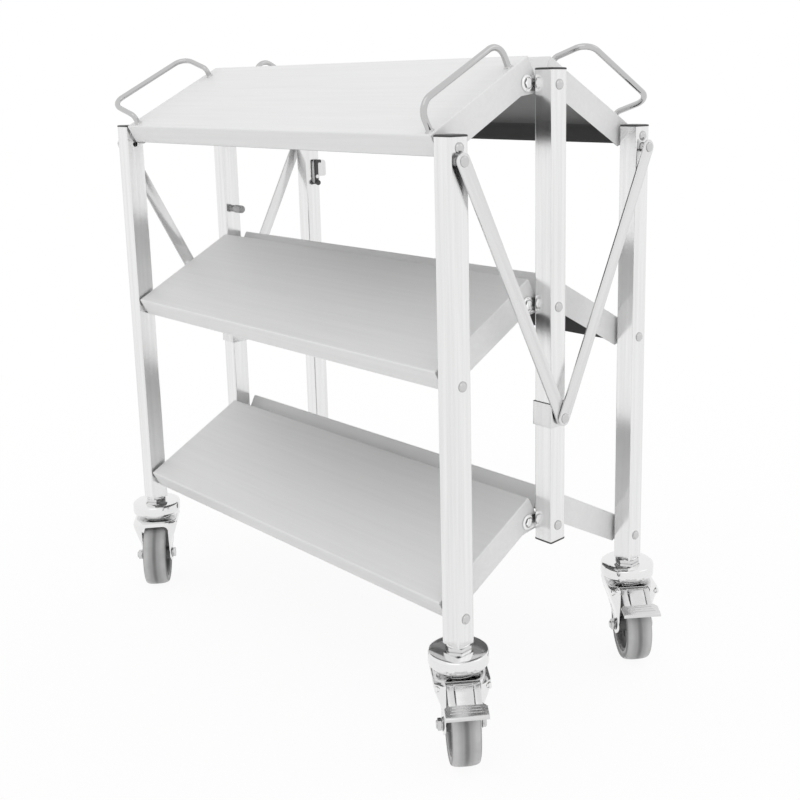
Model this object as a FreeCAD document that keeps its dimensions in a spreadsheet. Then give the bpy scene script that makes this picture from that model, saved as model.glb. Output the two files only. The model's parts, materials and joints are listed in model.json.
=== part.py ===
import FreeCAD, Part
import math
import os
import re

import Sketcher

# Folding service cart, in millimetres. X runs across the cart, Y along its ridge and Z up; the floor is
# at zero. The near end is at -Y. The whole cart repeats itself when it is turned half round, so pieces at
# the far end are the near end's pieces on the other side, turned half round.

SIZES = [
    # Frame of posts and legs
    ("cart_length", 750, "length over the legs, along the ridge"),
    ("tube", 28, "side of the square tube"),
    ("tube_wall", 1.2, "wall of the square tube"),
    ("tube_corner", 2, "outer corner radius of the square tube"),
    ("leg_length", 615, "length of a leg"),
    ("caster_height", 140, "floor to the lower end of a leg"),
    ("level_bottom", 35.5, "bottom tray's leg pivot above the lower end of the leg"),
    ("level_middle", 327.4, "middle tray's leg pivot above the lower end of the leg"),
    ("level_top", 602.7, "top tray's leg pivot above the lower end of the leg"),
    ("post_below", 20.6, "post below its bottom pivot"),
    ("post_above", 17.7, "post above its top pivot"),
    ("cap_thick", 4.2, "end cap outside the tube"),
    ("cap_lip", 0.4, "end cap's overhang past the tube"),
    ("cap_plug", 6.5, "end cap's plug inside the tube"),
    ("cap_round", 1.6, "rounding of the end cap"),
    ("middle_x", 18.5, "shift that puts the cart's box over the origin, across"),
    ("middle_y", 24, "shift that puts the cart's box over the origin, along"),
    # Trays
    ("slope", 28.4, "angle of the trays below level, degrees"),
    ("arm_reach", 184.7, "post pivot to leg pivot, along the tray"),
    ("arm_rise", 22, "leg pivot above the post pivot, square to the tray"),
    ("surface", 41, "tray's upper face above its post pivot"),
    ("sheet", 1.2, "sheet steel of the trays"),
    ("bend", 2, "outer radius of the trays' bends"),
    ("flange", 37, "depth of the trays' turned-down edges"),
    ("ridge_gap", 2, "tray's ridge edge to the pivot line"),
    ("eave_over", 5.4, "tray's low edge beyond the leg pivot"),
    ("end_gap", 4.5, "space between a leg and the end of a tray"),
    ("corner_cut", 9, "cut corner at the ends of the low edge"),
    ("notch_long", 16, "notch at the ends of the ridge flange, along"),
    ("notch_top", 12, "notch at the ends of the ridge flange, above the pivot"),
    ("ear", 10, "radius of a hinge ear"),
    ("ear_sheet", 1.4, "thickness of the inner hinge ear"),
    ("ear_reach", 36, "hinge ear's root along the tray"),
    ("ear_relief", 11.5, "radius cleared for the other tray's ear"),
    ("layer", 0.2, "space between two ears on one bolt"),
    # Handles
    ("handle_rod", 4, "radius of the handle's rod"),
    ("handle_low", 182, "handle's low foot from the post pivot"),
    ("handle_high", 32, "handle's high foot from the post pivot"),
    ("handle_up", 34, "grip above the tray"),
    ("handle_bend", 20, "bend radius of the grip's corners"),
    ("upright_in", 8, "upright handle's feet inside the tray's end"),
    ("lean_in", 22, "leaning handle's feet inside the tray's end"),
    ("lean_out", 26, "leaning handle's grip beyond the tray's end"),
    ("lean_rise", 14, "height at which the leaning handle turns outwards"),
    ("lean_bend", 9, "bend radius where the leaning handle turns outwards"),
    # Pivots
    ("pivot", 4, "radius of the pivot shanks"),
    ("fit", 0.05, "radial clearance of a shaft in its hole"),
    ("face_gap", 0.1, "space between two faces that slide on each other"),
    ("head", 6.5, "radius of the pivot heads"),
    ("head_high", 4, "height of the pivot heads"),
    ("head_round", 2.6, "rounding of the pivot heads"),
    ("washer", 8, "radius of the black washers"),
    ("washer_thick", 1.5, "thickness of the black washers"),
    ("bush", 6.5, "radius of the distance bushes"),
    ("tip", 3, "radius of a leg rivet's tip"),
    ("tail", 3.9, "radius of a leg rivet's peened tail"),
    ("tail_long", 2, "length of a leg rivet's peened tail"),
    ("nut_across", 13, "width of the post nuts across their flats"),
    ("nut_high", 6, "height of the post nuts"),
    ("thread_out", 2, "bolt beyond its nut"),
    # Braces and collars
    ("brace_long", 378, "brace between its two pins"),
    ("brace_wide", 20, "width of the brace bar"),
    ("brace_thick", 3, "thickness of the brace bar"),
    ("brace_drop", 14.7, "brace pin below the top leg pivot"),
    ("brace_out", 4.7, "inner brace's inner face beyond the legs"),
    ("brace_layer", 0.3, "space between the two braces"),
    ("rivet_high", 2.4, "height of the outer brace's rivet head"),
    ("collar_high", 31.5, "height of the collar"),
    ("collar_wall", 2, "wall of the collar"),
    ("collar_slide", 0.3, "space between the collar and its post"),
    ("collar_pin", 12, "collar's pin above its lower edge"),
    ("collar_boss", 7, "radius of the collar's boss"),
    ("collar_round", 2.5, "outer corner radius of the collar"),
    # Casters
    ("wheel", 50, "radius of the wheel"),
    ("tread", 36, "width of the tyre"),
    ("tread_round", 8, "rounding of the tyre's shoulders"),
    ("tyre_thick", 12, "depth of the tyre"),
    ("trail", 30, "axle behind the swivel axis"),
    ("rim_wide", 30, "width of the hub's rim"),
    ("rim_thick", 4, "thickness of the hub's rim"),
    ("web_wide", 14, "width of the hub's web"),
    ("boss", 10, "radius of the hub's boss"),
    ("plug", 12.75, "radius of the stem inside the leg"),
    ("plug_long", 28, "length of the stem inside the leg"),
    ("neck", 15, "radius of the stem's collar"),
    ("neck_high", 5.8, "height of the stem's collar"),
    ("race", 38, "radius of the ball race head"),
    ("race_high", 21, "height of the ball race head"),
    ("race_dome", 8, "height of the head's sloping top"),
    ("race_round", 3, "rounding of the head's rim"),
    ("crown", 36.5, "radius of the fork's crown"),
    ("crown_thick", 4, "thickness of the fork's crown"),
    ("crown_rim", 3, "wall of the crown's turned-down rim"),
    ("crown_deep", 10, "height of the crown's turned-down rim"),
    ("king_pin", 6, "radius of the king pin"),
    ("king_head", 9, "radius of the king pin's riveted head"),
    ("king_high", 3, "height of the king pin's riveted head"),
    ("turn_gap", 0.3, "space between the caster's parts that turn on each other"),
    ("cheek_gap", 3, "space between the tyre and the fork's cheek"),
    ("cheek_thick", 3, "thickness of the fork's cheeks"),
    ("cheek_front", 27, "cheek ahead of the swivel axis"),
    ("cheek_back", 50, "cheek behind the swivel axis"),
    ("cheek_deep", 18, "straight part of the cheek below the crown"),
    ("cheek_slope", 5, "fall of the cheek's upper edge behind the crown"),
    ("cheek_eye", 13, "radius of the cheek round the axle"),
    ("axle_head", 5.3, "height of the axle bolt's head"),
    ("axle_nut", 6.5, "height of the axle nut"),
    ("turn_near_left", 52, "swivel of the near left caster, degrees"),
    ("turn_near_right", 51, "swivel of the near right caster, degrees"),
    ("turn_far_left", 54, "swivel of the far left caster, degrees"),
    ("turn_far_right", 53, "swivel of the far right caster, degrees"),
    # Brake pedals
    ("brake_back", 43, "pedal's pin behind the swivel axis"),
    ("brake_up", 104.5, "pedal's pin above the floor"),
    ("brake_pin", 2.5, "radius of the pedal's pin"),
    ("brake_barrel", 4.5, "radius of the pedal's barrel"),
    ("brake_neck", 24, "width of the pedal's neck"),
    ("brake_wide", 52, "width of the pedal's tread at its back edge"),
    ("brake_front", 40, "width of the pedal's tread at its front edge"),
    ("brake_sheet", 2.8, "thickness of the pedal's plate"),
    ("brake_step", 23, "pedal's pin back to the tread's upper edge"),
    ("brake_fall", 11.5, "pedal's pin down to the tread's upper edge"),
    ("tread_back", 20, "tread plate, from edge to edge, backwards"),
    ("tread_fall", 3.5, "tread plate, from edge to edge, downwards"),
    ("lip_back", 2.5, "turned edge of the tread plate, backwards"),
    ("lip_fall", 5.5, "turned edge of the tread plate, downwards"),
    # Storage latch
    ("stud_up", 472, "stud above the legs' lower ends"),
    ("stud", 6.5, "radius of the stud"),
    ("stud_long", 28, "length of the stud"),
    ("stud_round", 2, "rounding of the stud's end"),
    ("stud_neck", 4, "radius of the stud's neck"),
    ("latch_up", 515, "latch plate's lower edge above the legs' lower ends"),
    ("latch_high", 29, "height of the latch plate"),
    ("latch_wide", 27, "width of the latch plate"),
    ("latch_thick", 3, "thickness of the latch plate"),
    ("latch_over", 13, "latch plate beyond the leg's side"),
    ("latch_round", 6, "corner radius of the latch plate"),
    ("latch_foot", 12, "latch plate's foot below its wide part"),
    ("latch_foot_wide", 12, "width of the latch plate's foot"),
    ("hook_thick", 4, "thickness of the hook"),
    ("hook_wide", 7, "width of the hook's arm"),
    ("hook_long", 25, "hook's pin to the underside of its beak"),
    ("hook_beak", 14, "length of the hook's beak"),
    ("hook_tip", 5, "depth of the hook's beak"),
    ("hook_pin", 2.5, "radius of the hook's pin"),
    ("knob", 5, "radius of the hook's knob"),
    ("knob_drop", 11, "knob below the hook's pin"),
    ("knob_long", 9, "length of the knob"),
    # Cuts
    ("over", 5, "overrun of cuts past a face"),
]

doc = FreeCAD.newDocument("service_cart")
sheet = doc.addObject("Spreadsheet::Sheet", "Dims")
for row, (alias, size, words) in enumerate(SIZES, 1):
    sheet.set(f"A{row}", words)
    sheet.set(f"B{row}", str(size))
    sheet.setAlias(f"B{row}", alias)
doc.recompute()

ALIASES = {alias for alias, _, _ in SIZES}

HALF = "(cart_length / 2)"
LEG_X = "(arm_reach * cos(slope) + arm_rise * sin(slope))"
DROP = "(arm_reach * sin(slope) - arm_rise * cos(slope))"
TRAY_HALF = "(cart_length / 2 - tube - end_gap)"
FLANGE_LOW = "(surface - flange)"
EAVE = "(arm_reach + eave_over)"
BRACE_TOP = "(caster_height + level_top - brace_drop)"
BRACE_FALL = f"sqrt(brace_long^2 - {LEG_X}^2)"
COLLAR_Z = f"({BRACE_TOP} - {BRACE_FALL})"
OUTER_BRACE = "(brace_out + brace_thick + brace_layer)"
RACE_TOP = "(caster_height - neck_high)"
RACE_LOW = f"({RACE_TOP} - race_high)"
CROWN_TOP = f"({RACE_LOW} - turn_gap)"
CROWN_LOW = f"({CROWN_TOP} - crown_thick)"
CHEEK_IN = "(tread / 2 + cheek_gap)"
CHEEK_OUT = "(tread / 2 + cheek_gap + cheek_thick)"
LEVELS = {"top": "level_top", "middle": "level_middle", "bottom": "level_bottom"}

# Each corner with the near side that it copies, and whether it is turned half round
CORNERS = {
    "near_left": ("left", False),
    "near_right": ("right", False),
    "far_left": ("right", True),
    "far_right": ("left", True),
}
SIDE_SIGN = {"left": "-1", "right": "1"}

sub_parts = []


def tied(text):
    """Writes the sheet's name before each of its aliases."""
    return re.sub(r"[a-z][a-z_]*", lambda word: "Dims." * (word.group() in ALIASES) + word.group(), text)


def value(text):
    return float(sheet.evalExpression(tied(text)))


def finished(piece, label):
    """Names a sub-part, and marks it as one that is written out."""
    piece.Label = label
    sub_parts.append(piece)
    return piece


def place(piece, x, y, z, turned=False, yaw="0", pitch="0", roll="0"):
    """Puts a piece at its spot at the near end, or at the same spot turned half round."""
    if turned:
        x, y, yaw = f"-({x})", f"-({y})", f"180 + {yaw}"
    spot = f"vector(middle_x + {x}; middle_y + {y}; {z})"
    piece.setExpression("Placement", tied(f"placement({spot}; rotation({yaw}; {pitch}; {roll}))"))
    return piece


def new_body(name):
    return doc.addObject("PartDesign::Body", name)


def draw_outline(drawing, points):
    """Closed outline of straight lines, with each corner tied to its two sizes."""
    spots = [FreeCAD.Vector(value(x), value(y), 0) for x, y in points]
    first = drawing.GeometryCount
    count = len(spots)
    for i, spot in enumerate(spots):
        drawing.addGeometry(Part.LineSegment(spot, spots[(i + 1) % count]), False)
    for i in range(count):
        drawing.addConstraint(Sketcher.Constraint("Coincident", first + i, 2, first + (i + 1) % count, 1))
    for i, (x, y) in enumerate(points):
        for kind, text in (("DistanceX", x), ("DistanceY", y)):
            link = Sketcher.Constraint(kind, -1, 1, first + i, 1, value(text))
            index = drawing.addConstraint(link)
            drawing.setExpression(f"Constraints[{index}]", tied(text))


def draw_circle(drawing, x, y, radius):
    spot = FreeCAD.Vector(value(x), value(y), 0)
    circle = drawing.addGeometry(Part.Circle(spot, FreeCAD.Vector(0, 0, 1), value(radius)), False)
    for kind, text in (("DistanceX", x), ("DistanceY", y)):
        index = drawing.addConstraint(Sketcher.Constraint(kind, -1, 1, circle, 3, value(text)))
        drawing.setExpression(f"Constraints[{index}]", tied(text))
    index = drawing.addConstraint(Sketcher.Constraint("Radius", circle, value(radius)))
    drawing.setExpression(f"Constraints[{index}]", tied(radius))


def new_drawing(body, plane, offset="0"):
    """A sketch on one of the body's own planes, moved along the plane's normal."""
    drawing = body.newObject("Sketcher::SketchObject", body.Name + "_sketch")
    role = plane + "_Plane"
    support = next(item for item in body.Origin.OriginFeatures if item.Role == role)
    drawing.AttachmentSupport = [(support, "")]
    drawing.MapMode = "FlatFace"
    drawing.setExpression("AttachmentOffset.Base.z", tied(offset))
    return drawing


def draw(drawing, shapes):
    for shape in shapes:
        if isinstance(shape, list):
            draw_outline(drawing, shape)
        else:
            draw_circle(drawing, *shape)


def pad(body, plane, shapes, low, high):
    """Adds what is drawn, from low to high along the plane's axis."""
    start = f"-({high})" if plane == "XZ" else low
    drawing = new_drawing(body, plane, start)
    draw(drawing, shapes)
    made = body.newObject("PartDesign::Pad", body.Name + "_pad")
    made.Profile = drawing
    made.setExpression("Length", tied(f"{high} - ({low})"))
    doc.recompute()
    return made


def pocket(body, plane, shapes, low, high):
    """Cuts what is drawn, from low to high along the plane's axis."""
    before = body.Shape.Volume
    start = f"-({low})" if plane == "XZ" else high
    drawing = new_drawing(body, plane, start)
    draw(drawing, shapes)
    made = body.newObject("PartDesign::Pocket", body.Name + "_pocket")
    made.Profile = drawing
    made.setExpression("Length", tied(f"{high} - ({low})"))
    doc.recompute()
    if not body.Shape.Volume < before:
        raise RuntimeError(f"a pocket of {body.Name} cuts nothing")
    return made


def soften(body, radius, wanted):
    """Rounds the edges that the test picks."""
    tip = body.Tip
    names = [f"Edge{i}" for i, edge in enumerate(tip.Shape.Edges, 1) if wanted(edge.BoundBox)]
    made = body.newObject("PartDesign::Fillet", body.Name + "_fillet")
    made.Base = (tip, names)
    made.setExpression("Radius", tied(radius))
    doc.recompute()
    return made


def close_to(a, b):
    return abs(a - b) < value("fit") / 2


def upright(box):
    return box.ZLength > value("fit") and close_to(box.XLength, 0) and close_to(box.YLength, 0)


def level_at(height):
    return lambda box: close_to(box.ZMin, height) and close_to(box.ZMax, height)


def turned_piece(name, points):
    """A round piece from its outline of radius and height."""
    body = new_body(name)
    drawing = new_drawing(body, "XZ")
    draw_outline(drawing, points)
    made = body.newObject("PartDesign::Revolution", name + "_turn")
    made.Profile = drawing
    made.ReferenceAxis = (drawing, ["V_Axis"])
    made.Angle = 360
    doc.recompute()
    return body


def ring(name, inner, outer, low, high):
    return turned_piece(name, [(inner, low), (outer, low), (outer, high), (inner, high)])


def square(side):
    half = f"({side}) / 2"
    return [(f"-{half}", f"-{half}"), (half, f"-{half}"), (half, half), (f"-{half}", half)]


def group(label, pieces):
    """Several separate solids under one name."""
    made = doc.addObject("Part::Compound", label)
    made.Links = pieces
    return finished(made, label)


# Posts, legs and their caps

def square_tube(name, length, holes):
    """Upright square tube with cross holes for its pivots."""
    body = new_body(name)
    pad(body, "XY", [square("tube")], "0", length)
    soften(body, "tube_corner", upright)
    pocket(body, "XY", [square("tube - 2 * tube_wall")], "-over", f"{length} + over")
    circles = [("0", height, "pivot + fit") for height in holes]
    pocket(body, "XZ", circles, "-tube / 2 - over", "tube / 2 + over")
    return body


def end_cap(name):
    """Cap with its plug down, its rim on the tube's end at zero."""
    body = new_body(name)
    pad(body, "XY", [square("tube + 2 * cap_lip")], "0", "cap_thick")
    soften(body, "tube_corner + cap_lip", upright)
    soften(body, "cap_round", level_at(value("cap_thick")))
    pad(body, "XY", [square("tube - 2 * tube_wall - 2 * fit")], "-cap_plug", "0")
    return body


POST_Y = f"-({HALF} - tube / 2)"
POST_LOW = f"(caster_height + level_bottom + {DROP} - post_below)"
POST_LONG = "(level_top - level_bottom + post_below + post_above)"
ENDS = {"near": False, "far": True}


def make_posts():
    holes = [f"{level} - level_bottom + post_below" for level in LEVELS.values()]
    caps = []
    for end, turned in ENDS.items():
        post = square_tube(f"post_{end}", POST_LONG, holes)
        finished(place(post, "0", POST_Y, POST_LOW, turned), f"post_{end}")
        top = end_cap(f"post_cap_top_{end}")
        caps.append(place(top, "0", POST_Y, f"{POST_LOW} + {POST_LONG}", turned))
        low = end_cap(f"post_cap_low_{end}")
        caps.append(place(low, "0", POST_Y, POST_LOW, turned, roll="180"))
    group("post_caps", caps)


def make_legs():
    holes = list(LEVELS.values()) + ["level_top - brace_drop"]
    for corner, (side, turned) in CORNERS.items():
        leg = square_tube(f"leg_{corner}", "leg_length", holes)
        x = f"{SIDE_SIGN[side]} * {LEG_X}"
        finished(place(leg, x, POST_Y, "caster_height", turned), f"leg_{corner}")
    for side in ("left", "right"):
        caps = []
        for corner, x, turned in corners_on(side):
            cap = end_cap(f"leg_cap_{corner}")
            caps.append(place(cap, x, POST_Y, "caster_height + leg_length", turned))
        group(f"leg_caps_{side}", caps)


def corners_on(side):
    """The near and the far corner on one side of the cart, with their places."""
    for corner, (near_side, turned) in CORNERS.items():
        if corner.endswith(side):
            yield corner, f"{SIDE_SIGN[near_side]} * {LEG_X}", turned


# Pivots: each is drawn upright, with zero at the outer face of its post or leg

def headed(name, shank):
    """Round-headed fastener: the head below zero, the shank's outline above it."""
    head = [("0", "-head_high"), ("head", "-head_high"), ("head", "0")]
    body = turned_piece(name, head + shank)
    soften(body, "head_round", level_at(value("-head_high")))
    return body


FLANGE_IN = "(tube + end_gap + sheet)"
NUT_LOW = f"({FLANGE_IN} + ear_sheet + face_gap)"
NUT_HIGH = f"({NUT_LOW} + nut_high)"


def make_post_bolts():
    """At each post pivot a bolt, a distance bush and a nut inside both ears."""
    pieces = []
    for end, turned in ENDS.items():
        for level, height in LEVELS.items():
            name = f"{end}_{level}"
            z = f"caster_height + {height} + {DROP}"
            shank = [("pivot", "0"), ("pivot", f"{NUT_HIGH} + thread_out"), ("0", f"{NUT_HIGH} + thread_out")]
            bolt = headed(f"post_bolt_{name}", shank)
            bush = ring(f"post_bush_{name}", "pivot + fit", "bush", "tube + fit", "tube + end_gap - face_gap")
            nut = hexagon_nut(f"post_nut_{name}", "nut_high")
            for piece in (bolt, bush):
                pieces.append(place(piece, "0", f"-{HALF}", z, turned, roll="-90"))
            pieces.append(place(nut, "0", f"-{HALF} + {NUT_LOW}", z, turned, roll="-90"))
    group("post_bolts", pieces)


def hexagon_nut(name, height):
    """Nut on the pivot size, from zero up."""
    body = new_body(name)
    corners = []
    for i in range(6):
        angle = 60 * i
        corners.append((f"nut_across / sqrt(3) * cos({angle})", f"nut_across / sqrt(3) * sin({angle})"))
    pad(body, "XY", [corners], "0", height)
    pocket(body, "XY", [("0", "0", "pivot + fit")], "-over", f"{height} + over")
    return body


def make_leg_rivets():
    """At each leg pivot a shoulder rivet, a distance bush and a black washer."""
    bush_low = "tube + fit + washer_thick + fit"
    shank_end = "tube + end_gap - face_gap"
    tail_low = f"{FLANGE_IN} + face_gap"
    shank = [("pivot", "0"), ("pivot", shank_end), ("tip", shank_end), ("tip", tail_low),
             ("tail", tail_low), ("tail", f"{tail_low} + tail_long"), ("0", f"{tail_low} + tail_long")]
    for side in ("left", "right"):
        bright = []
        black = []
        for corner, x, turned in corners_on(side):
            for level, height in LEVELS.items():
                name = f"{corner}_{level}"
                z = f"caster_height + {height}"
                rivet = headed(f"leg_rivet_{name}", shank)
                bush = ring(f"leg_bush_{name}", "pivot + fit", "bush", bush_low, shank_end)
                washer = ring(f"washer_{name}", "pivot + fit", "washer", "tube + fit",
                              "tube + fit + washer_thick")
                bright += [place(item, x, f"-{HALF}", z, turned, roll="-90") for item in (rivet, bush)]
                black.append(place(washer, x, f"-{HALF}", z, turned, roll="-90"))
        group(f"leg_rivets_{side}", bright)
        group(f"pivot_washers_{side}", black)


# Trays: drawn level, with the post pivot at zero and the tray running to -X

def make_tray(name):
    body = new_body(name)
    profile = [("-ridge_gap", FLANGE_LOW), ("-ridge_gap", "surface"), (f"-{EAVE}", "surface"),
               (f"-{EAVE}", FLANGE_LOW)]
    pad(body, "XZ", [profile], f"-{TRAY_HALF}", TRAY_HALF)
    soften(body, "bend", level_at(value("surface")))
    inside = [("-ridge_gap - sheet", f"{FLANGE_LOW} - over"), ("-ridge_gap - sheet", "surface - sheet"),
              (f"-{EAVE} + sheet", "surface - sheet"), (f"-{EAVE} + sheet", f"{FLANGE_LOW} - over")]
    pocket(body, "XZ", [inside], f"-{TRAY_HALF} + sheet", f"{TRAY_HALF} - sheet")
    cut_low_corners(body)
    cut_ridge_notches(body)
    add_outer_ear(body)
    add_inner_ear(body)
    pocket(body, "XZ", [("0", "0", "pivot + fit"), ("-arm_reach", "arm_rise", "tip + fit")],
           f"-{TRAY_HALF} - over", f"{TRAY_HALF} + over")
    return body


def cut_low_corners(body):
    """Slanted corners at both ends of the low edge, through the edge and the end flanges."""
    slanted = []
    for sign in ("-", ""):
        end = f"{sign}({TRAY_HALF} + over)"
        inner = f"{sign}({TRAY_HALF} - corner_cut)"
        slanted.append([(inner, f"{FLANGE_LOW} - over"), (inner, FLANGE_LOW),
                        (f"{sign}{TRAY_HALF}", f"{FLANGE_LOW} + corner_cut"),
                        (end, f"{FLANGE_LOW} + corner_cut"), (end, f"{FLANGE_LOW} - over")])
    pocket(body, "YZ", slanted, f"-{EAVE} - over", f"-{EAVE} + sheet")
    below, above = f"{FLANGE_LOW} - over", f"{FLANGE_LOW} + corner_cut"
    inner = f"-{EAVE} + corner_cut"
    triangle = [(f"-{EAVE} - over", below), (f"-{EAVE} - over", above), (f"-{EAVE}", above),
                (inner, FLANGE_LOW), (inner, below)]
    pocket(body, "XZ", [triangle], f"-{TRAY_HALF} - over", f"{TRAY_HALF} + over")


def cut_ridge_notches(body):
    """Room for the ears and the nut at both ends of the ridge flange."""
    notches = []
    for sign in ("-", ""):
        outer = f"{sign}({TRAY_HALF} - sheet)"
        inner = f"{sign}({TRAY_HALF} - notch_long)"
        notches.append([(inner, f"{FLANGE_LOW} - over"), (inner, "notch_top"), (outer, "notch_top"),
                        (outer, f"{FLANGE_LOW} - over")])
    pocket(body, "YZ", notches, "-ridge_gap - sheet", "-ridge_gap + over")


EAR_WEB = [("0", "-ear"), ("-ear_reach", FLANGE_LOW), ("-ear_reach", f"{FLANGE_LOW} + sheet"),
           ("-ridge_gap - sheet", f"{FLANGE_LOW} + sheet"), ("-ridge_gap - sheet", "ear - sheet"),
           ("0", "ear - sheet")]


def add_ear(body, low, high):
    pad(body, "XZ", [EAR_WEB], low, high)
    pad(body, "XZ", [("0", "0", "ear")], low, high)


def add_outer_ear(body):
    """Ear in line with the near end flange."""
    add_ear(body, f"-{TRAY_HALF}", f"-{TRAY_HALF} + sheet")


def add_inner_ear(body):
    """Ear one layer inside the far end flange, which is cleared for the other tray's ear."""
    add_ear(body, f"{TRAY_HALF} - sheet - ear_sheet", f"{TRAY_HALF} - sheet")
    pocket(body, "XZ", [("0", "0", "ear_relief")], f"{TRAY_HALF} - sheet - layer", f"{TRAY_HALF} + over")


def make_trays():
    for level, height in LEVELS.items():
        for side, turned in (("left", False), ("right", True)):
            tray = make_tray(f"tray_{level}_{side}")
            z = f"caster_height + {height} + {DROP}"
            finished(place(tray, "0", "0", z, turned, pitch="-slope"), f"tray_{level}_{side}")


# Handles: bent rod on the top trays, in the tray's own frame

def rod_path(points, radii):
    """Straight runs joined by tangent arcs at the inner points."""
    edges = []
    start = points[0]
    for before, corner, after, radius in zip(points, points[1:], points[2:], radii):
        back = (before - corner).normalize()
        on = (after - corner).normalize()
        half = math.acos(back.dot(on)) / 2
        first = corner + back * (radius / math.tan(half))
        last = corner + on * (radius / math.tan(half))
        inward = (back + on).normalize()
        middle = corner + inward * (radius / math.sin(half) - radius)
        edges += [Part.LineSegment(start, first).toShape(), Part.Arc(first, middle, last).toShape()]
        start = last
    edges.append(Part.LineSegment(start, points[-1]).toShape())
    return Part.Wire(edges)


def bent_rod(points, radii, rod_radius):
    path = rod_path(points, radii)
    circle = Part.Circle(points[0], points[1] - points[0], rod_radius)
    return path.makePipeShell([Part.Wire(circle.toShape())], True, False)


def make_handles():
    half, up, bend = value(TRAY_HALF), value("surface + handle_up"), value("handle_bend")
    low, high = -value("handle_low"), -value("handle_high")
    surface = value("surface")
    stand = -half + value("upright_in")
    foot, grip = half - value("lean_in"), half + value("lean_out")
    knee = surface + value("lean_rise")
    upright_points = [(high, stand, surface), (high, stand, up), (low, stand, up), (low, stand, surface)]
    lean_points = [(high, foot, surface), (high, foot, knee), (high, grip, up),
                   (low, grip, up), (low, foot, knee), (low, foot, surface)]
    forms = {
        "upright": (upright_points, [bend, bend]),
        "lean": (lean_points, [value("lean_bend"), bend, bend, value("lean_bend")]),
    }
    places = {"near_left": ("upright", False), "far_left": ("lean", False),
              "far_right": ("upright", True), "near_right": ("lean", True)}
    for corner, (form, turned) in places.items():
        points, radii = forms[form]
        handle = doc.addObject("Part::Feature", f"handle_{corner}")
        spots = [FreeCAD.Vector(*point) for point in points]
        handle.Shape = bent_rod(spots, radii, value("handle_rod"))
        z = f"caster_height + level_top + {DROP}"
        finished(place(handle, "0", "0", z, turned, pitch="-slope"), f"handle_{corner}")


# Braces and collars

def make_brace(name):
    """Flat bar hanging from its upper pin at zero, its inner face at zero too."""
    body = new_body(name)
    bar = [("-brace_wide / 2", "-brace_long"), ("brace_wide / 2", "-brace_long"), ("brace_wide / 2", "0"),
           ("-brace_wide / 2", "0")]
    pad(body, "XZ", [bar], "-brace_thick", "0")
    eyes = [("0", "0", "brace_wide / 2"), ("0", "-brace_long", "brace_wide / 2")]
    pad(body, "XZ", eyes, "-brace_thick", "0")
    pocket(body, "XZ", [("0", "0", "pivot + fit"), ("0", "-brace_long", "pivot + fit")],
           "-brace_thick - over", "over")
    return body


BRACE_OUT = {"left": "brace_out", "right": OUTER_BRACE}


def make_braces():
    """Inner layer on the near left and far right legs, outer layer on the other two."""
    for corner, (side, turned) in CORNERS.items():
        sign, out = SIDE_SIGN[side], BRACE_OUT[side]
        brace = make_brace(f"brace_{corner}")
        lean = f"{sign} * asin({LEG_X} / brace_long)"
        x = f"{sign} * {LEG_X}"
        finished(place(brace, x, f"-{HALF} - {out}", BRACE_TOP, turned, pitch=lean), f"brace_{corner}")
        make_brace_rivet(corner, side, turned)
    for side in ("left", "right"):
        bolts = []
        for corner, x, turned in corners_on(side):
            out = BRACE_OUT[CORNERS[corner][0]]
            bar_end = f"-({out} + brace_thick + face_gap)"
            head_end = f"{bar_end} - rivet_high"
            bolt = turned_piece(f"brace_bolt_{corner}", [
                ("0", head_end), ("head", head_end), ("head", bar_end), ("pivot", bar_end),
                ("pivot", "tube"), ("0", "tube")])
            soften(bolt, "rivet_high / 2", level_at(value(head_end)))
            bush = ring(f"brace_bush_{corner}", "pivot + fit", "bush", f"-({out} - face_gap)", "-fit")
            for piece in (bolt, bush):
                bolts.append(place(piece, x, f"-{HALF}", BRACE_TOP, turned, roll="-90"))
        group(f"brace_bolts_{side}", bolts)


def make_brace_rivet(corner, side, turned):
    """Rivet in the brace's lower eye: flush in the inner bar, headed on the outer one."""
    name = f"brace_rivet_{corner}"
    if side == "left":
        rivet = turned_piece(name, [
            ("0", "-brace_thick"), ("pivot", "-brace_thick"), ("pivot", "0"), ("0", "0")])
    else:
        top = "-brace_thick - fit"
        rivet = turned_piece(name, [
            ("0", f"{top} - rivet_high"), ("head", f"{top} - rivet_high"), ("head", top), ("pivot", top),
            ("pivot", "0"), ("0", "0")])
        soften(rivet, "rivet_high / 2", level_at(value(f"{top} - rivet_high")))
    finished(place(rivet, "0", f"-{HALF} - {BRACE_OUT[side]}", COLLAR_Z, turned, roll="-90"), name)


def make_collars():
    """Sleeves that slide on the posts and carry the braces' lower ends."""
    for end, turned in ENDS.items():
        body = new_body(f"collar_{end}")
        pad(body, "XY", [square("tube + 2 * (collar_slide + collar_wall)")], "0", "collar_high")
        soften(body, "collar_round", upright)
        pocket(body, "XY", [square("tube + 2 * collar_slide")], "-over", "collar_high + over")
        face = "-(tube / 2 + collar_slide + collar_wall)"
        pad(body, "XZ", [("0", "collar_pin", "collar_boss")], "-(tube / 2 + brace_out - brace_layer)", face)
        finished(place(body, "0", POST_Y, f"{COLLAR_Z} - collar_pin", turned), f"collar_{end}")


# Casters: drawn with the swivel axis at zero, the floor at zero and the wheel trailing to -X

def caster_mount(name):
    """Stem in the leg, ball race head and king pin."""
    shoulder = f"{RACE_TOP} - race_dome"
    pin_low = f"{CROWN_LOW} - turn_gap"
    body = turned_piece(name, [
        ("0", "caster_height + plug_long"), ("plug", "caster_height + plug_long"), ("plug", "caster_height"),
        ("neck", "caster_height"), ("neck", RACE_TOP), ("race", shoulder), ("race", RACE_LOW),
        ("king_pin", RACE_LOW), ("king_pin", pin_low), ("king_head", pin_low),
        ("king_head", f"{pin_low} - king_high"), ("0", f"{pin_low} - king_high")])
    soften(body, "race_round", level_at(value(shoulder)))
    return body


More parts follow.
